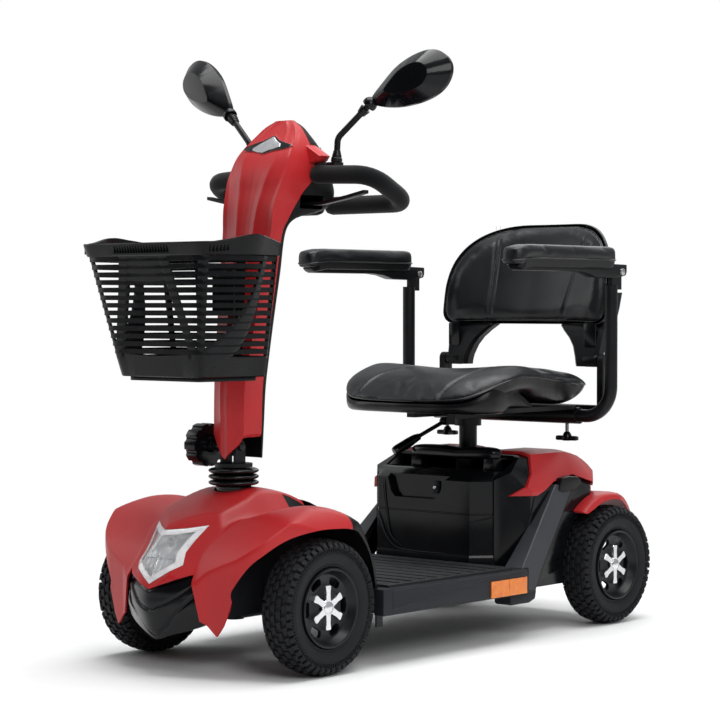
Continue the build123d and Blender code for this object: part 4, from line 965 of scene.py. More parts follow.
def front_body():
    """Red cowl and black liner, cut from the one skin, with room for the lamp and bumper."""
    shell = front_shell()
    cut_away(shell, prism(BUMPER, "Y", -700, -540), prism([(-92, 97), (92, 97), (101, 92),
        (121, 72), (121, 0), (-121, 0), (-121, 72), (-101, 92)], "Y", -700, -480),
        prism(well_line, "X", 96, 260), prism([(155, 158), (146, 130), (131, 92), (119, 74),
        (119, 0), (300, 0), (300, 158)], "Y", -700, -500), prism(disc(0, -AXLE, 34, 40), "Z", 220,
        340), prism(box(-92, 92, -400, -250), "Z", 0, 134))
    twin(shell, 1)
    lamp_hole = prism(LAMP, "Y", -700, -500)
    zone = prism([(-260, -358), (-60, -358), (-60, HOOD_END), (60, HOOD_END), (60, -358),
        (260, -358), (260, -200), (-260, -200)], "Z", 0, 400)
    liner = bare("liner", shell.data.copy())
    cut(liner, zone, how="INTERSECT")
    cut(shell, lamp_hole, zone)
    cut_away(liner, prism(box(-57, 57, -304, -240), "Z", 0, 400))
    drop(lamp_hole, zone)
    red = settle("front_cowl_shell", shell, "chassis", RED, 40)
    black = settle("cowl_liner_shell", liner, "chassis", SATIN, 40)
    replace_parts(red, "front_cowl")
    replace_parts(black, "cowl_liner")


def cowl_tail():
    """Short black tail that closes the hood behind the column."""
    rows = []
    for y, z in ((-299.5, 281), (-280, 275.5), (-262, 268), (-252, 262), (-243, 240), (-235, 212),
            (-229, 140), (-229, 134)):
        half = 55.5 if y < -290 else 54.0
        rows.append([(x, y, z - 0.0009 * x * x if z > 205 else z)
            for x in (-half, -half + 5, -30, 0, 30, half - 5, half)])
    inner = [[(x * 0.93, -304.5 + (y + 304.5) * 0.93, z - 3.5) for x, y, z in row] for row in rows]
    mesh = mesh_of("tail", rows + inner[::-1], grid_faces(len(rows) * 2, 7, wrap_rows=True))
    with editing(mesh) as work:
        bmesh.ops.holes_fill(work, edges=work.edges)
    round_edges(outward(mesh), 1.2, 2, 30)
    dress("cowl_tail", mesh, "chassis", SATIN)


def nose_reach(x, z, proud):
    """How far forward the nose reaches at a place seen from the front."""
    low, high = -640.0, -480.0
    for _step in range(22):
        middle = (low + high) / 2
        low, high = (middle, high) if cowl_top(x, middle) < z else (low, middle)
    return low - proud


def headlamp():
    """Clear fluted lens in a frosted rim, over a bright bowl with its bulb and ring."""
    centre = Vector((0, 205))

    def sheet(margin, proud, cells):
        ring = []
        for a, b in zip(LAMP, LAMP[1:] + LAMP[:1]):
            for k in range(10):
                p = Vector(a).lerp(Vector(b), k / 10)
                ring.append(p + (centre - p).normalized() * margin)
        rows = []
        for j in range(cells + 1):
            row = [centre + (p - centre) * max(1 - j / cells, 0.001) for p in ring]
            rows.append([(p.x, nose_reach(p.x, p.y, proud(p, j / cells)), p.y) for p in row])
        return rows

    def pane(name, finish, margin, cells, front, back, kept=None):
        """A thin solid between two sheets of the same rows."""
        rows = sheet(margin, front, cells)[:kept] + sheet(margin, back, cells)[:kept][::-1]
        return hoop(name, rows, "chassis", finish, 40)

    def flutes(p, t):
        lower = clamp((212 - p.y) / 10)
        return -1.2 + lower * 1.4 * abs(sin(p.x * pi / 11)) * (1 - t * 0.3)

    def bowl(p, t):
        gap = hypot(p.x, (p.y - 222) * 1.15)
        cup = -17 * max(0.0, 1 - (gap / 34) ** 2)
        return -6.5 + cup * clamp((238 - p.y) / 10) - 3.0 * (p.y < 196)

    pane("lamp_frosted_rim", FROST, 0.8, 9, lambda p, t: 0.4 + 1.8 * min(1, t * 30), lambda p,
        t: -3.0, 3)
    pane("lamp_reflector", BOWL, 4.0, 18, bowl, lambda p, t: bowl(p, t) - 1.5)
    lens = pane("lamp_lens", LENS, 3.4, 12, lambda p, t: 1.0, flutes)
    lathe("lamp_bulb", [(0, -13), (5, -12), (7.5, -7), (7.5, 4), (0, 4)], (0, -560, 220), "Y",
        "chassis", FROST, 28)
    lathe("lamp_bulb_ring", [(8.2, -6), (12.5, -7.5), (15.5, -4), (14, 2), (8.2, 2)],
        (0, -561, 220), "Y", "chassis", BOWL, 36)
    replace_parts(lens, "headlamp_lens")


def ease(t):
    """A smooth step from 0 to 1."""
    t = clamp(t)
    return t * t * (3 - 2 * t)


def bumper(down=60, across=42):
    """Glossy V-nosed bumper with two raised chevron lines and a rolled lower lip."""
    top_z = lookup([(0, 147.6), (38, 161.4), (75, 175)])
    side_x = lookup([(60, 55), (68, 66.5), (84, 93.4), (130, 85), (174, 75.5)])
    forward = lookup([(56, -598), (62, -603), (72, -607), (90, -612.5), (116, -621.5),
        (135, -621.5), (150, -620), (176, -611)])
    upper = lookup([(0, 113), (20, 119), (50, 136), (76, 158), (95, 175)])
    lower = lookup([(0, 70), (12, 74), (25, 84), (45, 105), (87, 148), (95, 157)])
    rows = []
    for i in range(down + 1):
        v = i / down
        row = []
        for j in range(-across, across + 1):
            u = j / across
            z_top = top_z(75 * abs(u)) - 1.2
            z = z_top + (61 + 31 * abs(u) ** 1.35 - z_top) * v
            x = u * min(side_x(z) - 0.8, 93.0)
            y = forward(z) + (hypot(x, 15) - 15) * (0.39 + 0.12 * abs(u)) + 2.0
            a, b = z - upper(abs(x)), z - lower(abs(x))
            lift = 3.0 * ease(b / 4.5) * ease(-a / 4.5) - 2.0 * np.exp(-(a / 2.8) ** 2) \
                - 2.0 * np.exp(-(b / 2.8) ** 2) - 2.5 * ease((0.05 - v) / 0.05)
            row.append((x, y - lift, z))
        rows.append(row)
    back = [[(x * 0.985, y + 7.5, z) for x, y, z in row] for row in rows]
    columns, base = len(rows[0]), len(rows) * len(rows[0])
    rim_line = [*range(columns), *(i * columns + columns - 1 for i in range(1, down + 1)),
        *(down * columns + j for j in range(columns - 2, -1, -1)),
        *(i * columns for i in range(down - 1, 0, -1))]
    sheet = grid_faces(len(rows), columns)
    faces = sheet + [tuple(base + k for k in face[::-1]) for face in sheet]
    faces += [(a, base + a, base + b, b) for a, b in zip(rim_line, rim_line[1:] + rim_line[:1])]
    mesh = mesh_of("bumper", rows + back, faces)
    with editing(mesh) as work:
        bmesh.ops.recalc_face_normals(work, faces=work.faces)
    made = dress("nose_bumper_cover", mesh, "chassis", GLOSS, 42)
    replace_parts(made, "nose_bumper")


def gaiter():
    """Glossy rubber bellows round the steering column, with a wide upper collar."""
    profile = [(22, 297), (29, 297), (30, 301), (30, 307)]
    for k in range(3):
        z = 309 + 10.3 * k
        profile += [(31.5, z - 0.8), (37, z + 0.2), (42.2, z + 2.2), (44, z + 4.9), (42.2, z + 7.2),
            (37, z + 9.2)]
    profile += [(30, 339), (22, 339.6)]
    run = [(max(r, 21.6), min(max(z, 296.4), 339.8)) for r, z in smooth_line(profile, 3)]
    made = lathe("column_gaiter", run, (0, -AXLE, 0), "Z", "chassis", RUBBER, 56, 60)
    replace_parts(made, "bellows")


def splash_guards():
    """Black inner walls of the front wheel wells, clear of the wheels at full steer."""
    face = [(-556, 96), (-560, 205), (-520, 240), (-460, 258), (-380, 264), (-305, 252), (-300, 96)]
    for name, side in SIDES.items():
        slab(f"splash_guard_{name}", face, "X", *sorted((side * 82, side * 84.5)), "chassis", MATTE,
            bevel=0.8)


front_body()
cowl_tail()
headlamp()
bumper()
gaiter()
splash_guards()


# ---- tiller
# height: front middle, front corner, joint between covers, rear, half width
TILLER = [
    (350, -441, -430, -386, -380, 36), (415, -442, -429, -384, -376, 37),
    (480, -442, -427, -382, -372, 38), (540, -432, -419, -377, -366.5, 42.5),
    (600, -418, -409, -371, -361, 48), (675, -404, -397, -363, -352, 54),
    (750, -389, -384, -354, -343, 60), (768, -386, -383, -343, -326, 61),
    (788, -382, -381, -330, -244, 62), (800, -379, -378, -321, -222, 63),
    (820, -373, -371, -307, -217, 66), (840, -368, -363, -288, -226, 69),
    (858, -361, -353, -284, -236, 70), (880, -348, -342, -284, -247, 67),
    (900, -331, -327, -284, -257, 60), (920, -313, -311, -284, -268, 48),
    (935, -301, -300, -284, -275, 36), (946, -293, -291, -284, -281, 18),
]
levels = [lookup([(row[0], row[k]) for row in TILLER], 6) for k in range(1, 6)]
inner_crest = lookup([(350, 0.20), (480, 0.22), (600, 0.26), (750, 0.34), (840, 0.46), (890, 0.60),
    (946, 0.5)])
outer_crest = lookup([(350, 0.52), (480, 0.52), (600, 0.54), (750, 0.62), (840, 0.78), (890, 0.90),
    (946, 0.8)])
PIVOT_Y, PIVOT_Z = -418, 376


def tiller_section(z):
    """Half of the front cover across one height: ridge lines, bevel faces and the side wall."""
    front, corner, seam, _rear, half = [f(z) for f in levels]
    a, b = inner_crest(z), outer_crest(z)
    drop_a = (corner - front) * 0.10
    drop_b = (corner - front) * 0.42 + 2.2
    side = max(corner + 7, min(seam - 1, corner + 14))
    return [(0, front + 2.4), (a * half * 0.5, front + 1.9), (a * half, front + drop_a),
        ((a + b) / 2 * half, front + (drop_a + drop_b) / 2 + 0.4), (b * half, front + drop_b),
        ((1 + b) / 2 * half, (front + drop_b + corner) / 2 + 1.2), (half * 0.975, corner + 1.0),
        (half, side), (half, seam)]


def cover_shell(name, rows, sign):
    """One of the tiller's covers as an open shell 3 mm thick, closed at the top."""
    count = len(rows[0])
    mesh = mesh_of(name, rows, grid_faces(len(rows), count) + [
        tuple(range((len(rows) - 1) * count, len(rows) * count))])
    with editing(mesh) as work:
        bmesh.ops.remove_doubles(work, verts=work.verts, dist=WELD)
        bmesh.ops.triangulate(work, faces=[f for f in work.faces if len(f.verts) > 4])
    return shelled("work_" + name, mesh, 0.003, 1, sign)


def covers(slices=150, cuts=5):
    """Red faceted front cover and black rear cover, each a 3 mm shell."""
    front_rows, rear_rows = [], []
    for z in [350 + (946.5 - 350) * k / slices for k in range(slices + 1)]:
        section = tiller_section(z)
        half = [(x0 + (x1 - x0) * k / cuts, y0 + (y1 - y0) * k / cuts, z) for (x0, y0),
            (x1, y1) in zip(section, section[1:]) for k in range(cuts)]
        half.append((*section[-1], z))
        front_rows.append(mirrored(half[:0:-1]) + half)
        seam, rear, wide = [f(z) for f in levels[2:]]
        deep = max(rear, seam + 2)
        curve = smooth_run([(wide, seam + 0.8, 0), (wide, seam + (deep - seam) * 0.55, 0),
            (wide * 0.97, deep - (deep - seam) * 0.16, 0), (wide * 0.84, deep, 0),
            (0, deep + 0.6, 0)], 5, sharp=(3,))
        half = [(p.x, p.y, z) for p in curve]
        rear_rows.append(half + mirrored(half[-2::-1]))

    def shared():
        """Room for the pivot's pin, the handlebar's grip and its slot."""
        return (prism(disc(PIVOT_Y, PIVOT_Z, 10, 24), "X", -60, 60),
            prism(disc(-284, 849, 12.5, 24), "X", -120, 120), prism(box(-314, -256, 789, 813), "X",
            -100, 100))

    front = cover_shell("tiller_front_shell", front_rows, -1)
    rear = cover_shell("tiller_rear_shell", rear_rows, 1)
    pin, grip, slot = shared()
    hub = [(-400, 350), (-440.9, 350)] + [(PIVOT_Y - 13.4 * cos(k * pi / 16),
        PIVOT_Z + 13.4 * sin(k * pi / 16)) for k in range(9)] + [(-400, 389.4)]
    cut_away(front, prism([(0, 354), (12, 366), (26, 380), (37, 398), (44, 420), (44, 300),
        (-44, 300), (-44, 420), (-37, 398), (-26, 380), (-12, 366)], "Y", -500, -300),
        prism(box(-16, 16, 609, 671), "Y", -480, -392), pin, prism(hub, "X", -21, 21), grip, slot)
    cut_away(rear, prism(box(-62, 62, 300, 356), "Y", -500, -300), *shared())
    for shell, name, finish, stands in ((front, "tiller_front_shell", RED, "tiller_front_cover"),
            (rear, "tiller_rear_shell", SATIN, "tiller_rear_cover")):
        twin(shell, -1)
        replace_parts(settle(name, shell, "tiller", finish, 22), stands)


def cover_front(x, z):
    """Y of the tiller's front skin at a place seen from the front."""
    xs, ys = zip(*tiller_section(z)[:8])
    return float(np.interp(abs(x), xs, ys))


def patch(name, outline, proud, finish, steps=8, bevel=0.25, depth=2.0):
    """A thin plate lying on the tiller's front skin, from an outline of (x, z) points."""
    centre = Vector([sum(axis) / len(outline) for axis in zip(*outline)])
    ring = [Vector(a).lerp(Vector(b), k / 6) for a, b in zip(outline, outline[1:] + outline[:1])
        for k in range(6)]
    rows = []
    for part, lift in [(0.001, proud)] + [(k / steps, proud) for k in range(1,
            steps)] + [(1.0 - bevel * 0.05, proud), (1.0, proud - bevel), (1.0, proud - depth),
            (0.001, proud - depth)]:
        rows.append([(x, cover_front(x, z) - lift, z) for x, z in (centre + (p - centre) * part
            for p in ring)])
    skin(name, rows, "tiller", finish)


def badge():
    """Plain kite on the head: a recessed black field with a bright faceted diamond."""
    kite = [(0, 919.5), (22, 909), (54, 900.5), (58, 897), (46, 892), (20, 889.5), (0, 885),
        (-20, 889.5), (-46, 892), (-58, 897), (-54, 900.5), (-22, 909)]
    patch("badge_frame", [(x * 1.05, 901 + (z - 901) * 1.09) for x, z in kite], 0.9, RED)
    patch("badge_field", kite, 1.3, GLOSS)
    patch("badge_diamond", [(0, 917.5), (16, 908.5), (30, 902.5), (33, 897), (22, 893.5),
        (10, 891.5), (-2, 887), (-16, 889), (-30, 892.5), (-32, 897), (-24, 903), (-14, 909)], 2.2,
        BRIGHT, steps=2, bevel=0.8)


def ears():
    """Small red wedges beside the head, where the handlebar leaves it."""
    face = [(56, 903), (74, 893), (95, 880.5), (88, 872), (66, 866), (58, 868)]
    for name, side in SIDES.items():
        rows = [[(side * (70 + (x - 70) * grow), y, 882 + (z - 882) * grow) for x, z in face] for y,
            grow in ((-297, 0.86), (-292, 0.98), (-284, 1.0), (-274, 1.0), (-270, 0.94))]
        skin(f"head_ear_{name}", rows, "tiller", RED, limit=30)


covers()
badge()
ears()

# ---- basket
BASE_Z = 500.0


def basket_spot(t, z, out=0.0):
    """Place on the basket's wall: t runs 0 to 4 from the front middle round to the rear middle."""
    side, t = (1, t) if t >= 0 else (-1, -t)
    rise = (z - BASE_Z) / 225
    corners = [Vector((0, -592 - 40 * rise)), Vector((95 + 50 * rise, -592 - 40 * rise)),
        Vector((104 + 68 * rise, -528 - 9 * rise)), Vector((111 + 31 * rise, -448)),
        Vector((0, -448))]

    def on_line(u):
        k = min(int(u), 3)
        return corners[k].lerp(corners[k + 1], u - k)

    near = round(t)
    reach = {1: 0.16, 2: 0.30, 3: 0.14}.get(near, 0)
    if reach and abs(t - near) < reach:
        u = (t - near + reach) / (2 * reach)
        a, b, c = on_line(near - reach), corners[near], on_line(near + reach)
        spot = a * (1 - u) ** 2 + b * 2 * u * (1 - u) + c * u * u
    else:
        spot = on_line(t)
    spot = spot + (spot - Vector((0, -530 - 8 * rise))).normalized() * out
    return (side * spot.x, spot.y, z)


def round_wall(z, out, half=44):
    """A closed line on the basket's wall at one height."""
    ring = [4 * k / half for k in range(half + 1)]
    return [basket_spot(t, z, out) for t in ring + [-t for t in ring[-2:0:-1]]]


def wall_panel(left, right, low, high, out, thick, rows=26, columns=10):
    """A solid part of the basket wall between two edges given as t(z)."""
    rings = []
    for i in range(rows + 1):
        z = low + (high - low) * i / rows
        t0, t1 = left(z), right(z)
        line = [t0 + (t1 - t0) * j / columns for j in range(columns + 1)]
        outer = [basket_spot(t, z, out - (j in (0, columns))) for j, t in enumerate(line)]
        rings.append(outer + [basket_spot(t, z, out - thick) for t in line[::-1]])
    return skin("panel", rings, "basket", BASKET, limit=30)


def wall_band(name, z_low, z_high, out, thick, peaks, steps=184):
    """A band all round the basket, whose upper edge rises by peaks(t)."""
    rows = []
    for k in range(steps):
        t = 8 * k / steps
        t = t if t <= 4 else t - 8
        top = z_high + peaks(t)
        rows.append([basket_spot(t, z, o) for z, o in ((z_low, out - thick), (z_low, out - 1.5),
            (z_low + 1.6, out), (top - 2, out + 0.8), (top, out - 0.8), (top, out - thick))])
    hoop(name, rows, "basket", BASKET, 30)


def basket_arms():
    """Corner posts, sweeping arms, front plate and back posts of the basket's wall."""
    arm = lookup([(525, 0.95), (540, 0.88), (560, 0.79), (600, 0.64), (650, 0.48), (700, 0.36)])
    fore = lookup([(530, 0.88), (546, 1.06), (560, 1.40), (585, 1.80), (620, 2.10), (660, 2.28),
        (700, 2.37)])
    rear = lookup([(518, 1.5), (540, 1.98), (570, 2.22), (610, 2.37), (660, 2.45), (700, 2.51)])
    panels = [(lambda z: 0.93, lambda z: 1.12, 512, 705, 1.6, 5),
        (lambda z: 2.92, lambda z: 3.06, 512, 705, 1.6, 5), (lambda z: arm(z) - 0.11,
        lambda z: arm(z) + 0.06, 530, 705, 2.6, 6), (fore, rear, 530, 705, 2.6, 6)]
    parts = []
    for side in (1, -1):
        for left, right, *rest in panels:
            parts.append(wall_panel(*(lambda z, f=f: side * f(z) for f in (left, right)), *rest))
    parts.append(wall_panel(lambda z: -0.44 + (z - 650) * 0.0014,
        lambda z: 0.44 - (z - 650) * 0.0014, 655, 705, 2.2, 6, 12, 16))
    for t0, t1 in ((3.55, 3.68), (-3.68, -3.55)):
        parts.append(wall_panel(lambda z: t0, lambda z: t1, 512, 705, 1.0, 5))
    join("basket_arms", parts, "basket", BASKET, 30)


def basket_rim():
    """Humped rim with its grip ribs."""
    hump = lookup([(0, 0), (1.0, 0.0), (1.3, 2.0), (2.0, 13.0), (2.35, 9), (3.0, 0.5), (3.4, -2),
        (4, -2)])
    wall_band("basket_rim", 702, 724, 5.5, 9, lambda t: hump(abs(t)))
    wall_band("basket_base_band", BASE_Z, 535, 1.8, 5.5, lambda t: 8
        * max(0, 1 - abs(abs(t) - 1.0) / 1.1))
    rib = loose("rim_rib", [(x, y, z) for x in (-1.0, 1.0) for y in (-1.2, 1.2)
        for z in (-7.0, 7.0)], [(0, 1, 3, 2), (4, 6, 7, 5), (0, 2, 6, 4), (1, 5, 7, 3),
        (0, 4, 5, 1), (2, 3, 7, 6)], local)
    grips = []
    for t0, t1 in ((-0.42, 0.42), (1.12, 1.45), (-1.45, -1.12)):
        line = [t0 + (t1 - t0) * k / 10 for k in range(11)]
        path = path_of("rib_path", [basket_spot(t, 713.5 + hump(abs(t)) / 2, 6.2) for t in line])
        grips.append(run_tree(along_path, BASKET, Path=path, Item=rib, Pitch=0.0064))
        drop(path)
    drop(rib)
    dress("basket_rim_ribs", carried(merged("grips", grips)), "basket", BASKET)


def basket():
    """Moulded slatted basket: bars, wall, ribbed rim and solid base, hooked on its receiver."""
    loops = [path_of(f"loop_{z}", round_wall(z, -1.0), True) for z in (BASE_Z, 725.0)]
    bars = run_tree(stacked_bars, BASKET, Lower=loops[0], Upper=loops[1], Bars=13, First=0.19,
        Step=0.0573, Height=0.0082, Depth=0.0066)
    drop(*loops)
    with editing(carried(bars)) as work:
        bmesh.ops.recalc_face_normals(work, faces=work.faces)
    slats = dress("basket_slats", bars, "basket", BASKET, 30)
    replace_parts(slats, "basket")
    basket_arms()
    basket_rim()
    floor = [(x, y) for x, y, _z in round_wall(502, -1.5)]
    slab("basket_floor", floor, "Z", 500, 504, "basket", BASKET)
    foot = [(x * 0.9, -520 + (y + 520) * 0.9) for x, y in floor]
    slab("basket_foot", foot, "Z", 493, 500, "basket", BASKET, bevel=1.5)
    hook = [(-449, 679), (-432, 679), (-432, 630), (-436, 630), (-436, 675), (-449, 675)]
    hooks = [slab("hook", face, "X", x0, x1, "basket", BASKET, bevel=0.8) for face, x0,
        x1 in ((hook, -30, -14), (hook, 14, 30), (box(-449, -432, 679, 684), -30, 30))]
    join("basket_hook", hooks, "basket", BASKET)


basket()


# ---- soft pads
def corners_of(mesh, what="co"):
    """The places or normals of a mesh's corners, as rows."""
    values = np.empty(len(mesh.vertices) * 3)
    mesh.vertices.foreach_get(what, values)
    return values.reshape(-1, 3)


def swell(thing, voxel, cap, keep):
    """Swells a closed pad: remesh, cloth under pressure, move capped, then one subdivision.
    keep(point) puts a point back where the pad rests on something."""
    modifier(thing, "REMESH", mode="VOXEL", voxel_size=voxel)
    before = corners_of(apply_all(thing).data)
    scene = bpy.context.scene
    cloth = thing.modifiers.new("cloth", "CLOTH")
    cloth.settings.use_pressure = True
    cloth.settings.uniform_pressure_force = 4.0
    cloth.settings.effector_weights.gravity = 0.0
    cloth.point_cache.frame_start, cloth.point_cache.frame_end = 1, 20
    for step in range(1, 21):
        scene.frame_set(step)
    swollen = plain_mesh(thing)
    thing.modifiers.clear()
    move = corners_of(swollen) - before
    far = np.maximum(np.linalg.norm(move, axis=1), 1e-9)
    move *= (np.minimum(far, cap) / far)[:, None]
    before = before + move
    bpy.data.meshes.remove(swollen)
    scene.frame_set(1)
    places = before * 1000
    places[:, 1] -= MIDDLE_Y * 1000
    places = np.array([keep(*p) for p in places])
    places[:, 1] += MIDDLE_Y * 1000
    thing.data.vertices.foreach_set("co", (places / 1000).ravel())
    modifier(thing, "SMOOTH", factor=0.5, iterations=3)
    modifier(thing, "SUBSURF", levels=1, render_levels=1)
    apply_all(thing)


def pad_of(name, rows, voxel, cap, keep):
    """A swollen pad from rings of places, as a helper object."""
    pad = bare(name, outward(mesh_of(name, rows, filled(len(rows), len(rows[0])))))
    swell(pad, voxel, cap, keep)
    return pad


def groove(mesh, path, depth, width):
    """Draws a sewn channel into a mesh along a run of places: points near it sink along their
    own normals."""
    line = np.array([at(*p) for p in resampled(path, 120)])
    where, normals = corners_of(mesh), corners_of(mesh, "normal")
    low, high = line.min(0) - width / 200, line.max(0) + width / 200
    inside = np.where(((where > low) & (where < high)).all(1))[0]
    gap = np.full(len(inside), 1e9)
    for a, b in zip(line, line[1:]):
        run = b - a
        t = np.clip(((where[inside] - a) @ run) / (run @ run), 0, 1)
        gap = np.minimum(gap, np.linalg.norm(where[inside] - a - t[:, None] * run, axis=1))
    sink = depth / 1000 * np.exp(-(gap * 1000 / width) ** 2)
    where[inside] -= normals[inside] * sink[:, None]
    mesh.vertices.foreach_set("co", where.ravel())
    mesh.update()


trees = {}


def bvh_of(mesh):
    """The search tree of a mesh, made once."""
    if mesh.name not in trees:
        trees[mesh.name] = BVHTree.FromPolygons([v.co.copy() for v in mesh.vertices],
            [p.vertices[:] for p in mesh.polygons])
    return trees[mesh.name]


def skin_height(mesh, x, y):
    """Height of a mesh's upper skin at a place."""
    spot = bvh_of(mesh).ray_cast(at(x, y, 1500), Vector((0, 0, -1)))[0]
    return seat_top(y) if spot is None else spot.z * 1000


def on_skin(mesh, line, proud):
    """The same closed line laid on a mesh's skin, standing proud of it and evened out."""
    out = []
    for p in line:
        spot, normal, *_rest = bvh_of(mesh).find_nearest(at(*p))
        flat_out = Vector((normal.x, normal.y, normal.z * 0.3)).normalized()
        out.append((spot + flat_out * proud / 1000 - at(0, 0, 0)) * 1000)
    for _time in range(3):
        out = [(out[k - 1] + out[k] * 2 + out[(k + 1) % len(out)]) / 4 for k in range(len(out))]
    return out


def stitches(name, line, body):
    """Lock stitches 3.4 mm long along a seam, one thread thick."""
    path = path_of(name, line)
    rows = sweep([Vector((x, 0, 0.25 * (1 - (x / 1.7) ** 2))) for x in (-1.7, -1.2, 0, 1.2, 1.7)],
        disc(0, 0, 1, 6), lambda u: 0.42 - 0.25 * abs(2 * u - 1) ** 3)
    thread = loose("thread", [p for row in rows for p in row], filled(5, 6), local)
    made = run_tree(along_path, THREAD, Path=path, Item=thread, Pitch=0.0046)
    drop(path, thread)
    return dress(name, carried(made), body, THREAD)


SHARES = [0.02] + [0.1 * k for k in range(1, 9)] + [0.86, 0.92, 0.96, 0.985, 1.0]

# ---- seat
seat_top = lookup([(18, 445), (30, 456), (48, 470), (75, 482), (110, 490), (160, 495), (230, 490),
    (300, 485), (350, 483), (392, 480)])
seat_rim = lookup([(18, 440), (38, 443), (50, 449), (62, 458), (75, 466), (103, 478), (140, 486),
    (190, 487), (250, 480), (320, 471), (392, 466)])
seat_low = lookup([(18, 427), (60, 430), (103, 438), (150, 448), (184, 449), (240, 436), (300, 430),
    (354, 436), (392, 440)])
seat_outline = even_outline([(-201, 29), (0, 20), (201, 29), (201, 388), (-201, 388)],
    [132, 260, 132, 52, 52], 14, 120)


def seat_place(x, y):
    """Height of the cushion's skin before the edges fall away: it rises to wings at the sides."""
    wing = min(1, max(0, (y - 60) / 90)) * min(1, max(0, (430 - y) / 160))
    return seat_top(y) + 15.0 * min(1.0, abs(x) / 185) ** 2.2 * wing


def seat_rows():
    """Rings of the crowned cushion from its plan outline: underside, rim, then over the top."""
    centre = Vector((0, 212))
    under = [[centre + (p - centre) * s * 0.985 for p in seat_outline] for s in SHARES]
    over = [[centre + (p - centre) * s for p in seat_outline] for s in SHARES[::-1]]
    return [[(x, y, seat_rim(y) - (seat_rim(y) - seat_low(y)) * (1 - s ** 10) ** 0.5)
             for x, y in ring] for s, ring in zip(SHARES, under)] + \
           [[(x, y, seat_rim(y) + (seat_place(x, y) - seat_rim(y)) * (1 - s ** 5.0) ** 0.55)
             for x, y in ring] for s, ring in zip(SHARES[::-1], over)]


def seat_cushion():
    pad = pad_of("seat_pad", seat_rows(), 0.005, 0.0045, lambda x, y,
        z: (max(-205.5, min(205.5, x)), max(20.5, min(393, y)), max(z, seat_low(y) - 0.3)))
    lines = [smooth_line([(-112, 30), (-96, 80), (-82, 150), (-78, 190), (-88, 240)], 10),
        smooth_line([(86, 26), (104, 70), (116, 120), (122, 160), (126, 240), (130, 320),
        (136, 386)], 10)]
    seams = [[(p.x, p.y, skin_height(pad.data, p.x, p.y)) for p in resampled([(x, y, 0) for x,
        y in line], 60)] for line in lines]
    for seam in seams:
        groove(pad.data, seam, 2.6, 3.2)
    rim_line = [(p.x * 0.999, p.y, seat_rim(p.y) - 2) for p in seat_outline]
    groove(pad.data, rim_line + rim_line[:1], 1.6, 3.0)
    cushion = settle("seat_cushion_cover", pad, "seat", VINYL)
    cushion.data.materials.append(SHADED_VINYL.material)
    # faces below the rim take the darker vinyl: painted shade under the cushion
    for face in cushion.data.polygons:
        _x, y, z = face.center * 1000
        if z < seat_rim(y - MIDDLE_Y * 1000) - 3:
            face.material_index = 1
    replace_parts(cushion, "seat_cushion")
    tube("seat_piping", on_skin(cushion.data, rim_line, 1.0), 2.2, "seat", PIPING, sides=10,
        steps=0, closed=True)
    for k, seam in enumerate(seams):
        stitches(f"seat_stitches_{k}", [(x, y, z - 0.7) for x, y, z in seam], "seat")


# ---- backrest
def back_front(x, z):
    """Y of the backrest's front face."""
    s = (z - 583) / 201
    edge, centre = 406 + 30 * s, 433 + 88 * s
    u = min(1.0, abs(x) / 205)
    return edge + (centre - edge) * (1 - u * u) - 26 * (1 - u * 0.25)


def back_outline(grow=0.0):
    """The backrest's outline from the front."""
    return even_outline(box(-205 - grow, 205 + grow, 583 - grow, 784 + grow), [30, 30, 150, 150],
        20, 132)


def back_ring(outline, part, deep, shrink=1.0):
    """One ring of the backrest: its outline drawn in towards the middle, behind the front face."""
    centre = Vector((0, 676))
    return [(x, back_front(x, z) + deep, z) for x, z in (centre + (p - centre) * part * shrink
        for p in outline)]


def backrest():
    outline = back_outline(-2.5)
    rows = [back_ring(outline, s, 27.0 - 9 * s ** 8, 0.99) for s in SHARES]
    rows += [back_ring(outline, s, 15 - 13 * (1 - s ** 7) ** 0.5) for s in SHARES[::-1]]

    def keep(x, y, z):
        front = back_front(x, z)
        return (max(-206, min(206, x)), max(front - 4, min(front + 27.6, y)), max(581, min(785, z)))

    pad = pad_of("back_pad", rows, 0.005, 0.003, keep)
    seams = []
    for top_x, low_x in ((-116, -94), (-108, -86), (111, 90)):
        line = [(low_x + (top_x - low_x) * t, 586 + 195 * t) for t in (k / 40 for k in range(41))]
        seams.append([(x + 16 * (z - 586) / 195 * (1 - (z - 586) / 195), back_front(x, z) + 0.5, z)
            for x, z in line])
    for seam in seams:
        groove(pad.data, seam, 2.4, 3.0)
    cover = settle("backrest_cover", pad, "backrest", VINYL)
    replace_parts(cover, "backrest_cushion")
    for k, seam in enumerate(seams):
        stitches(f"backrest_stitches_{k}", [(x, y + 0.8, z) for x, y, z in seam], "backrest")
    outline = back_outline()
    ring = on_skin(cover.data, [(x, back_front(x, z) + 17.5, z) for x, z in outline], 0.6)
    tube("backrest_piping", ring, 1.7, "backrest", PIPING, sides=10, steps=0, closed=True)

    # moulded back panel: a shallow dish behind the pad
    rows = [back_ring(outline, s, 28.2, 0.99) for s in (0.02, 0.3, 0.6, 0.85, 0.95)]
    rows += [back_ring(outline, part, deep) for part, deep in ((0.985, 24.0), (0.992, 18.5),
        (1.004, 18.5), (1.006, 25.0))]
    rows += [back_ring(outline, s, 33.0 - 3.5 * s ** 12) for s in (0.985, 0.95, 0.85, 0.6, 0.3,
        0.02)]
    panel = skin("backrest_panel", rows, "backrest", SATIN, limit=40)
    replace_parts(panel, "backrest_shell")


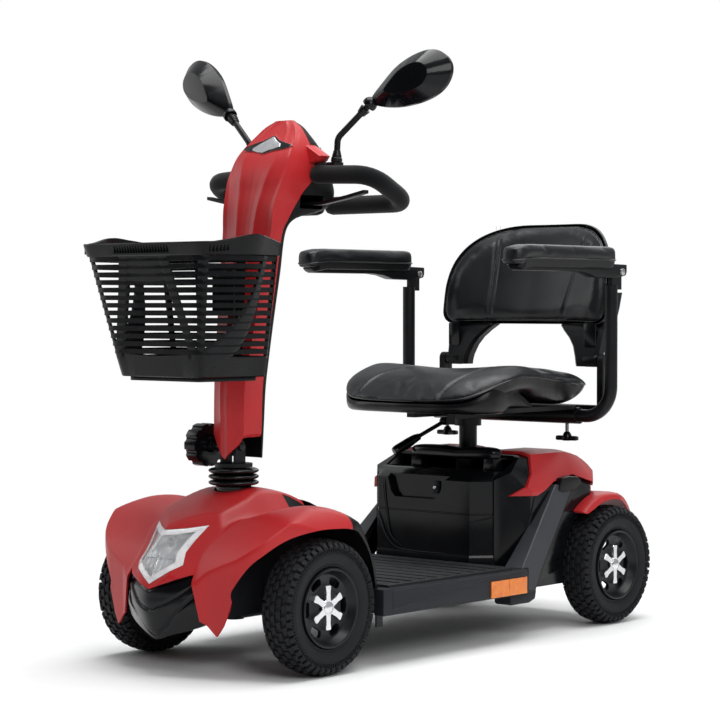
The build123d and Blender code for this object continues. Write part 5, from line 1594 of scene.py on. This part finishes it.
def backrest_arms():
    """Arched arms from the panel down to the hinges, each with its barrel and face plate."""
    inner = lookup([(500, 136), (520, 132), (540, 124), (556, 112), (568, 99), (577, 86), (600, 80),
        (645, 78)])
    outer = lookup([(500, 187), (520, 189), (560, 192), (600, 196), (645, 198)])
    front = lookup([(500, 396), (512, 396), (540, 402), (575, 413), (590, 428), (600, 437),
        (645, 456)])
    rings = []
    for z in (500, 508, 520, 540, 556, 570, 580, 590, 600, 614, 630, 645):
        a, b = inner(z), outer(z)
        depth = 24 if z < 590 else 24 - (z - 590) * 0.15
        y0 = max(front(z), back_front((a + b) / 2, z) + 29) if z > 586 else front(z)
        c = min(7.0, (b - a) * 0.2)
        rings.append([(a, y0 + depth, z), (a, y0 + c, z), (a + c, y0, z), (b - c, y0, z),
            (b, y0 + c, z), (b, y0 + depth, z), (b - 5, y0 + depth, z), (b - 5, y0 + 6, z),
            (a + 5, y0 + 6, z), (a + 5, y0 + depth, z)])
    plate = [(160, 538), (182, 538), (184, 541), (184, 583), (180, 586), (160, 586), (156, 582),
        (156, 541)]
    for name, side in SIDES.items():
        arm = skin(f"backrest_arm_{name}", [[(side * x, y, z) for x, y, z in r] for r in rings],
            "backrest", SATIN, limit=30)
        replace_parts(arm, "backrest_shell")
        lathe(f"backrest_barrel_{name}", [(6.3, 156), (12.5, 156), (13, 157), (13, 187),
            (12.5, 188), (6.3, 188)], (0, 408, 512), (side, 0, 0), "backrest", SATIN, 28)
        slab(f"backrest_arm_face_{name}", [(side * x, z) for x, z in plate], "Y", 400, 404.5,
            "backrest", GLOSS, bevel=1.2)


def seat_moulding():
    """Moulded tray that wraps the cushion's underside, in the darker vinyl that paints shade there.
    """
    rows = []
    for grow, part in ((-44, 0.0), (-20, 0.0), (-12, 0.04), (-7.5, 0.16), (-5, 0.4), (-4.5, 0.8),
            (-6.5, 1.0), (-12, 1.0), (-14, 0.4), (-24, 0.14), (-44, 0.14)):
        ring = []
        for p in seat_outline:
            tuck = grow - 20 * clamp((p.y - 80) / 60)
            low = 417.5 + max(0, p.y - 60) * 0.012
            hide = 1 - 0.9 * clamp((p.y - 110) / 110)
            ring.append((p.x * (1 + tuck / 200), 212 + (p.y - 212) * (1 + tuck / 190),
                low + (seat_rim(p.y) - 5 - low) * part * hide))
        rows.append(ring)
    hoop("seat_tray", rows, "seat", SHADED_VINYL, 40)


# ---- armrests
def armrest_pad(name, x0, body, outline):
    """Soft pad with its piping, on a moulded shell with an upturned nose."""
    tip = lambda y: max(0.0, (78 - y) / 44)
    high = lambda y: 730.5 - 5.5 * tip(y) ** 1.6
    rim_z = lambda y: 707 - 5.0 * min(1, tip(y)) ** 1.2
    low = lambda y: 699 - 6.0 * min(1, tip(y)) ** 1.1
    rows = []
    for edge, layers in ((low, ((0.05, 1.0), (0.5, 1.0), (0.9, 1.0), (0.97, 0.85), (1.0, 0.4),
            (1.0, 0.0))), (high, ((1.0, 0.25), (0.995, 0.5), (0.97, 0.72), (0.91, 0.88),
            (0.8, 0.96), (0.6, 0.99), (0.3, 1.0), (0.05, 1.0)))):
        for s, t in layers:
            rows.append([(x0 + p.x * s, 190 + (p.y - 190) * (1 - (1 - s) * 0.14),
                rim_z(p.y) + (edge(p.y) - rim_z(p.y)) * t) for p in outline])
    pad = pad_of("arm_pad", rows, 0.0035, 0.002, lambda x, y, z: (max(x0 - 25.5, min(x0 + 25.5, x)),
        max(34, min(342.5, y)), max(low(y) - 0.2, min(731.4, z))))
    cover = settle(f"armrest_pad_cover_{name}", pad, body, VINYL)
    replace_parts(cover, f"armrest_pad_{name}")
    tube(f"armrest_piping_{name}", [(x0 + p.x * 1.01, p.y, rim_z(p.y) - 1) for p in outline], 1.2,
        body, PIPING, sides=8, steps=0, closed=True)
    rows = [[(x0 + p.x * (1 + grow / 25), 190 + (p.y - 190) * (1 + grow / 160)
        + (12 if z < 700 else 4) * tip(p.y), z - 5 * min(1, tip(p.y))) for p in outline] for z,
        grow in ((690.5, -7), (692, -4.5), (699, -2.0), (705.5, -0.6), (706.5, -2.5))]
    skin(f"armrest_shell_{name}", rows, body, SATIN, limit=30)


def armrest_carrier(name, x0, body):
    """Beam below the pad, bored and pocketed for its pivot, with the pivot's two heads."""
    pivot_y, pivot_z = 375, 684
    side_view = [(44, 692), (52, 686.5), (60, 683.5), (230, 683.5), (262, 680.5), (292, 673),
        (340, 672), (362, 672), (388, 677), (391, 684), (391, 698), (344, 699), (300, 700.5),
        (80, 700.5), (60, 699)]
    beam = slab("beam", side_view, "X", x0 - 12, x0 + 12, body, SATIN, bevel=2.2)
    cut_away(beam, prism([(338, 660), (400, 660), (400, 696.5), (346, 696.5)], "X", x0 - 6.5,
        x0 + 6.5), prism(disc(pivot_y, pivot_z, 5.4, 20), "X", x0 - 30, x0 + 30))
    carrier = settle(f"armrest_carrier_{name}", beam, body, SATIN)
    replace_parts(carrier, f"armrest_pad_{name}")
    for way, edge in (("inner", -1), ("outer", 1)):
        lathe(f"armrest_pivot_{name}_{way}", [(0, 15.8), (4.5, 15.4), (6.6, 14.2), (7.0, 12.0),
            (0, 12.0)], (x0, pivot_y, pivot_z), (edge, 0, 0), body, ZINC, 20)


def armrests():
    outline = even_outline([(-24, 342), (-24, 46), (-13, 35), (13, 35), (24, 46), (24, 342)],
        [9, 9, 6, 6, 9, 9], 6, 96)
    for name, side in SIDES.items():
        armrest_pad(name, side * 253, f"armrest_{name}", outline)
        armrest_carrier(name, side * 253, f"armrest_{name}")


def tee_knobs():
    """Clamp knobs under the armrest sockets."""
    grip = rounded(box(-25, 25, -7, 7), [6] * 4, 5)
    thread = [(3.9 if k % 2 else 3.3, 374 + k * 0.62) for k in range(32)]
    for name, side in SIDES.items():
        body, centre = f"armrest_knob_{name}", (side * 150, 355, 0)
        rows = [[(side * 150 + p.x * s, 355 + p.y * (0.72 + 0.28 * (abs(p.x) / 25) ** 2) * s, z)
            for p in grip] for z, s in ((357.2, 0.9), (358.4, 1.0), (364.4, 1.0), (366, 0.9))]
        knob = skin(body + "_grip", rows, body, GLOSS, limit=40)
        lathe(body + "_boss", [(0, 356.2), (8.5, 356.6), (9.5, 358), (9.2, 366), (6.4, 372),
            (4.4, 374), (0, 374)], centre, "Z", body, GLOSS, 24)
        lathe(body + "_thread", [(0, 370), *thread, (0, 394)], centre, "Z", body, ZINC, 20)
        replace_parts(knob, body)


def seat_lever():
    """Swivel lever with its moulded grip and pivot hub."""
    body = "swivel_lever"
    tube(body + "_rod", [(-59, 234, 392), (-70, 208, 378), (-86, 175, 359)], 4, body, POWDER,
        sides=16)
    grip = tube(body + "_grip", [(-82, 184, 363), (-86, 175, 359), (-92, 157, 349), (-98, 140, 340),
        (-101.5, 131.5, 335)], lambda u: 6.2 + 3.6 * min(1, u * 2.2) - 1.4 * max(0, u - 0.85)
        / 0.15, body, GLOSS)
    lathe(body + "_hub", [(4.4, -66), (7.5, -66), (7.9, -65), (7.9, -52), (7.5, -51), (4.4, -51)],
        (0, 234, 392), "X", body, POWDER, 24)
    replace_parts(grip, "swivel_lever")


seat_cushion()
backrest()
backrest_arms()
seat_moulding()
armrests()
tee_knobs()
seat_lever()

# ---- rear body and deck
def copied(node_name):
    """The faces of a CAD node, welded, as a bmesh."""
    work = bmesh.new()
    holder = frame["nodes"][node_name]
    for thing in [holder, *holder.children_recursive]:
        if thing.type == "MESH":
            part = thing.data.copy()
            part.transform(thing.matrix_world)
            work.from_mesh(part)
            bpy.data.meshes.remove(part)
    bmesh.ops.remove_doubles(work, verts=work.verts, dist=3e-5)
    bmesh.ops.dissolve_limit(work, angle_limit=radians(1.2), verts=work.verts, edges=work.edges)
    return work


def written(name, work):
    """The mesh of a bmesh, which goes."""
    mesh = bpy.data.meshes.new(name)
    work.to_mesh(mesh)
    work.free()
    return mesh


def slope_rear(work):
    """Lets the rear body's top fall away in a curve towards the back."""
    for y in (338, 360, 381, 400, 418, 440, 462, 482):
        everything = list(work.verts) + list(work.edges) + list(work.faces)
        bmesh.ops.bisect_plane(work, geom=everything, plane_co=at(0, y, 0), plane_no=(0, 1, 0))
    fall = lookup([(300, 0), (338, 0), (381, -9), (418, -28), (440, -44), (462, -50), (482, -32),
        (500, -10), (512, -6)])
    for vert in work.verts:
        y, z = (vert.co.y - MIDDLE_Y) * 1000, vert.co.z * 1000
        if y > 338:
            vert.co.z += fall(y) / 1000 * clamp((z - 262) / 68)


def rounded_copy(name, node_name, width, body, finish, limit=32, segments=2, reshape=None):
    """A copy of a CAD node with rounded edges, standing for the node."""
    work = copied(node_name)
    if reshape:
        reshape(work)
    mesh = written(name, work)
    round_edges(mesh, width, segments, least=limit)
    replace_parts(dress(name, mesh, body, finish, limit), node_name)


def thin_line(width):
    """Radius of a raised line that tapers at both ends."""
    return lambda u: width * (0.4 + 0.6 * min(1, 8 * u, 8 * (1 - u)))


def battery_box():
    """Moulded battery box: stepped base, chamfered corners, brow, carrying pocket, raised lines."""
    rows = []
    for z, grow in ((134.2, 1.5), (146, 1.5), (148.5, 0.4), (152, -0.6), (226, -1.6), (227, -2.6),
            (228.4, -2.6), (229.4, -1.4), (289, -2.0), (301, -2.4), (305.6, -4.0), (307, -6.5)):
        lean = max(0.0, z - 289) * 1.75
        section = both([(114 + grow * 0.4, 95.0 - grow), (144 + grow, 129 - grow * 0.4),
            (144 + grow, 176)])
        rows.append([(x, y + (lean if y < 120 else lean * 0.2), z) for x, y in section])
    box_skin = skin("battery_box_blank", rows, "chassis", GLOSS, limit=24)
    cut_away(box_skin, prism([(-92, 300), (-80, 262), (-70, 252), (26, 252), (40, 262), (58, 300),
        (62, 330), (-96, 330)], "Y", 60, 109))
    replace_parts(settle("battery_box", box_skin, "chassis", GLOSS, 24), "battery_case")
    # latch in the pocket, and raised lines on the front in a lighter grey than the box: painted
    # highlight where the grooves catch the light
    slab("battery_latch", [(18, 262), (30, 262), (31, 264), (31, 284), (29, 286), (19, 286),
        (17, 284), (17, 264)], "Y", 103, 110, "chassis", MATTE, bevel=1.2)
    lathe("battery_latch_pin", [(0, 108), (3.4, 108), (3.4, 101.5), (2.6, 100.6), (0, 100.4)],
        (24, 0, 274), "Y", "chassis", ZINC, 18)
    lines = [[(-98, 93.4, 284), (-96, 93.4, 262), (-88, 93.6, 214), (-78, 93.8, 178),
        (-52, 94, 158)], [(-112, 94.6, 222), (-104, 94, 206), (-90, 93.8, 176), (-66, 93.8, 156),
        (-20, 93.8, 151), (60, 93.8, 151)]]
    for k, line in enumerate(lines):
        tube(f"battery_box_line_{k}", line, lambda u: 1.3 * (0.35 + 0.65
            * min(1, 8 * u, 8 * (1 - u))), "chassis", MATTE, sides=8, steps=10)
    for name, side in SIDES.items():
        line = [(side * 117.5, 95.6, 213), (side * 145.3, 127.4, 222), (side * 145.6, 170, 222)]
        tube(f"battery_box_split_{name}", line, 0.8, "chassis", SATIN, sides=8, steps=6, sharp=(1,))


def battery_grip(slices=32, sides=20):
    """Broad rounded lifting handle on the box's top, on two feet."""
    def blunt(value, power):
        return abs(value) ** power * (1 if value > 0 else -1)

    rows = []
    for k in range(slices + 1):
        u = k / slices
        x = -80 + 210 * u
        edge = min(1.0, (1 - (2 * u - 1) ** 8)) ** 0.5
        dip = 3.5 * np.exp(-((x - 40) / 26) ** 2)
        half, high = 19.5 * (0.35 + 0.65 * edge), 351 - dip - 9 * (1 - edge)
        low = 326 + 5 * (1 - edge)
        rows.append([(x, 167 + half * blunt(c, 0.55), (low + high) / 2 + (high - low) / 2
            * blunt(s, 0.7)) for c, s in disc(0, 0, 1, sides)])
    grip = skin("battery_grip", rows, "chassis", GLOSS, limit=50)
    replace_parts(grip, "battery_handle")
    for k, x in enumerate((-64, 114)):
        face = [(x - 14, 306.6), (x + 14, 306.6), (x + 11, 330), (x - 11, 330)]
        slab(f"battery_grip_foot_{k}", face, "Y", 153, 181, "chassis", GLOSS, bevel=2.5)


def slanted_band(name, side):
    """Broad flat band before the rear wheel, leaning in with its height, with its cap."""
    outer = lambda z: 227.8 if z < 128 else 227.8 - 33 * (z - 128) / 147
    face = [(128.5, 93), (150, 93), (171, 130), (312, 274), (257, 279), (110, 134.6),
        (128.5, 134.6)]
    near = [(side * 187, y, z) for y, z in face]
    edge = [(side * (outer(z) - 0.6), y, z) for y, z in face]
    proud = [(side * (outer(z) + 1.0), y + (1.6 if y < 135 or z > 273 and y < 290 else -1.6), z)
        for y, z in face]
    skin(f"slanted_band_{name}", [near, edge, proud], "chassis", BAND, limit=20)
    cap = [(262, 268), (274, 262), (318, 266), (330, 274), (334, 283), (326, 290), (296, 293),
        (274, 290)]
    slab(f"band_cap_{name}", cap, "X", *sorted((side * 184, side * 199.5)), "chassis", SATIN,
        bevel=3.0, segments=3)


def rear_fender(name, side, steps=48):
    """Red fender over the rear wheel: crowned, with a rolled lip, narrowing behind."""
    def out_to(radius, fade):
        return radius if radius > 131.5 else 131.5 - (131.5 - radius) * fade

    rows = []
    for k in range(steps + 1):
        a = radians(130 - (130 - 15) * k / steps)
        y = 410 + 133.5 * cos(a)
        wide = 219 - max(0, y - 440) * 0.32
        inner = 128 - max(0, y - 440) * 0.3
        section = [(inner, 128), (inner, 136.0), (176, 137.2), (wide - 20, 137.6),
            (wide - 9, 136.4), (wide - 3, 133.6), (wide - 0.4, 129), (wide, 123.5),
            (wide - 1.6, 122.6), (wide - 3.2, 126.5), (wide - 7, 130.6), (wide - 20, 132.6)]
        fade = min(1.0, k / 5, (steps - k) / 5) ** 0.5
        rows.append([(side * x, 410 + out_to(r, fade) * cos(a), 119 + out_to(r, fade) * sin(a))
            for x, r in section])
    skin(f"rear_fender_{name}", rows, "chassis", RED, limit=50)


def rear_trim():
    """Rear body with rounded edges, its fenders, slanted bands and thin lines."""
    rounded_copy("rear_body", "rear_shroud", 1.6, "chassis", GLOSS, limit=20, reshape=slope_rear)
    for name, side in SIDES.items():
        slanted_band(name, side)
        # thin raised line in the lighter grey finish: painted highlight of a groove on the dark
        # body side
        line = [(side * (190.4 - max(0, 184 - y) * 0.84), y, z) for y,
            z in ((198, 262), (186, 226), (178, 190), (174, 150))]
        tube(f"body_line_{name}", line, thin_line(1.5), "chassis", MATTE, sides=8, steps=10)
        rear_fender(name, side)
        # underside bracket where the skirt ends
        slab(f"deck_end_bracket_{name}", [(96, 66), (150, 66), (168, 72), (172, 88), (92, 88),
            (92, 70)], "X", *sorted((side * 176, side * 214)), "chassis", MATTE, bevel=2.5)


def low_islands(work, height):
    """The corners of all loose islands of a bmesh that stay below a height."""
    seen, found = set(), []
    for vert in work.verts:
        island, queue = [], [] if vert in seen else [vert]
        seen.add(vert)
        while queue:
            island.append(queue.pop())
            for edge in island[-1].link_edges:
                other = edge.other_vert(island[-1])
                if other not in seen:
                    seen.add(other)
                    queue.append(other)
        if island and max(v.co.z for v in island) < height:
            found += island
    return found


def red_panels():
    """Red upper panels: the CAD's faceted caps with softened edges."""
    work = copied("rear_red_panels")
    bmesh.ops.delete(work, geom=low_islands(work, 0.27), context="VERTS")
    slope_rear(work)
    holder = bare("panels", written("rear_red_panel_covers", work))
    cut_away(holder, prism(box(-172, 172, 100, 214), "Z", 317, 380))
    round_edges(holder.data, 2.2, 3, least=14)
    panels = settle("rear_red_panel_covers", holder, "chassis", RED, 28)
    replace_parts(panels, "rear_red_panels")


def deck():
    """Footboard tray with a creased skirt, ribbed mat and reflectors."""
    rounded_copy("footboard", "floor_pan", 2.2, "chassis", MATTE, limit=25, segments=3)
    for name, side in SIDES.items():
        upper = [(side * 235.2, y, z) for y, z in ((-268, 96), (4, 124), (100, 130), (100, 132.6),
            (-268, 131.6))]
        proud = [(side * 236.8, y, z) for y, z in ((-262, 99), (4, 125.6), (97, 130.8), (97, 131.6),
            (-262, 130.2))]
        skin(f"skirt_step_{name}", [upper, proud], "chassis", MATTE, limit=20)
    finish_node(MAT, "deck_mat")
    rib = loose("rib", [(x, y, z) for x in (-205, 205) for y, z in ((-1.9, 0), (-1.2, 0.6),
        (1.2, 0.6), (1.9, 0))], filled(2, 4), local)
    path = path_of("rib_path", [(0, -258, 0), (0, 84, 0)])
    rib.data.transform(Matrix.Rotation(radians(90), 4, "Z"))
    ribs = run_tree(along_path, MAT, Path=path, Item=rib, Pitch=0.0086)
    drop(path, rib)
    dress("deck_mat_fine_ribs", carried(ribs, (0, 0, 137.9)), "chassis", MAT, 20)
    finish_node(AMBER, "marker_lamps")


battery_box()
battery_grip()
rear_trim()
red_panels()
deck()


# ---- controls and mirrors
def handle_foam():
    line = rounded([(12, -181, 799), (194, -181, 799), (196, -275, 844.6), (70, -284, 849)],
        [34, 42], 12, closed=False)
    for name, side in SIDES.items():
        path = resampled([(side * p.x, p.y, p.z) for p in line], 90)
        foam = tube(f"handle_foam_{name}", path, lambda u: 16.2 + 0.12 * sin(u * 300) - 2.2
            * (max(0, 0.02 - u) + max(0, u - 0.98)) / 0.02, "tiller", FOAM, sides=28, steps=0)
        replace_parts(foam, "handlebar_foam")


def mirrors():
    ribs = [(5.7, 10.5)]
    for k in range(4):
        h = 11 + k * 3.4
        ribs += [(9.6 - k * 0.6, h), (9.8 - k * 0.6, h + 1.7), (8.1 - k * 0.6, h + 2.1),
            (8.0 - k * 0.6, h + 3.3)]
    ribs += [(6.2, 25.5), (5.7, 26)]
    boot = [(5.7, 0.5), (9.6, 0.5), (10.2, 2), (9.6, 7), (8.2, 8.4), (8.6, 10.2), (7.6, 14),
        (6.6, 19), (5.7, 21)]
    for name, side in SIDES.items():
        rounded_copy(f"mirror_shell_{name}", f"mirror_head_{name}", 1.4, f"mirror_{name}", GLOSS,
            limit=18)
        ball, knee = Vector((side * 170, -252, 968)), Vector((side * 107, -265, 912))
        foot = Vector((side * 105, -266, 870))
        for kind, profile, base, aim in (("neck", ribs, ball, knee - ball),
                ("boot", boot, foot, knee - foot)):
            lathe(f"mirror_{kind}_{name}", profile, base, aim.normalized(), f"mirror_arm_{name}",
                RUBBER, 28)
        finish_node(MIRROR, f"mirror_glass_{name}")
        finish_node(POWDER, f"mirror_arm_{name}")


def dial_marks():
    """Eleven marks round the speed dial, on the console's leaning face."""
    normal, up = Vector((0, 0.891, 0.454)), Vector((0, -0.454, 0.891))
    spot = lambda a, b, h: Vector((0, -215.5, 820)) + Vector((-1, 0, 0)) * a + up * b + normal * h
    wide = 0.9
    for k in range(11):
        turn_at, outer = radians(225 - 27 * k), 24.5 if k % 5 else 26.5
        corners = [(r * cos(turn_at) - w * sin(turn_at), 30 + r * sin(turn_at) + w * cos(turn_at))
            for r, w in ((20.5, -wide), (20.5, wide), (outer, wide * 1.2), (outer, -wide * 1.2))]
        skin(f"dial_mark_{k}", [[spot(a, b, h) for a, b in corners] for h in (3.4, 4.1)], "tiller",
            FROST)


def controls():
    rounded_copy("console_cover", "console_panel", 0.9, "tiller", SATIN)
    rounded_copy("lock_wheel", "lock_knob", 1.6, "lock_knob", GLOSS, limit=24, segments=3)
    rounded_copy("speed_paddles", "speed_lever", 1.3, "speed_lever", SATIN, segments=3)
    rounded_copy("dial_cap", "speed_dial", 0.9, "speed_dial", MATTE, segments=3)
    rounded_copy("key_bow", "ignition_key", 0.5, "ignition_key", ZINC)
    rounded_copy("horn_cap", "horn_button", 0.8, "horn_button", RUBBER, segments=3)
    dial_marks()


handle_foam()
mirrors()
controls()

# ---- CAD pieces that keep their shape
finish_node(POWDER, "chassis_frame", "steering_column", "tiller_mast", "seat_post", "seat_base",
    "handlebar", "armrest_frame_left", "armrest_frame_right", "drive_motor")
finish_node(SATIN, "seat_pan", "cowl_liner")
finish_node(ZINC, "track_rod", "steering_knuckle_left", "steering_knuckle_right")
finish_node(CAST, "transaxle", "controller")
finish_node(CELLS, "battery_cells")
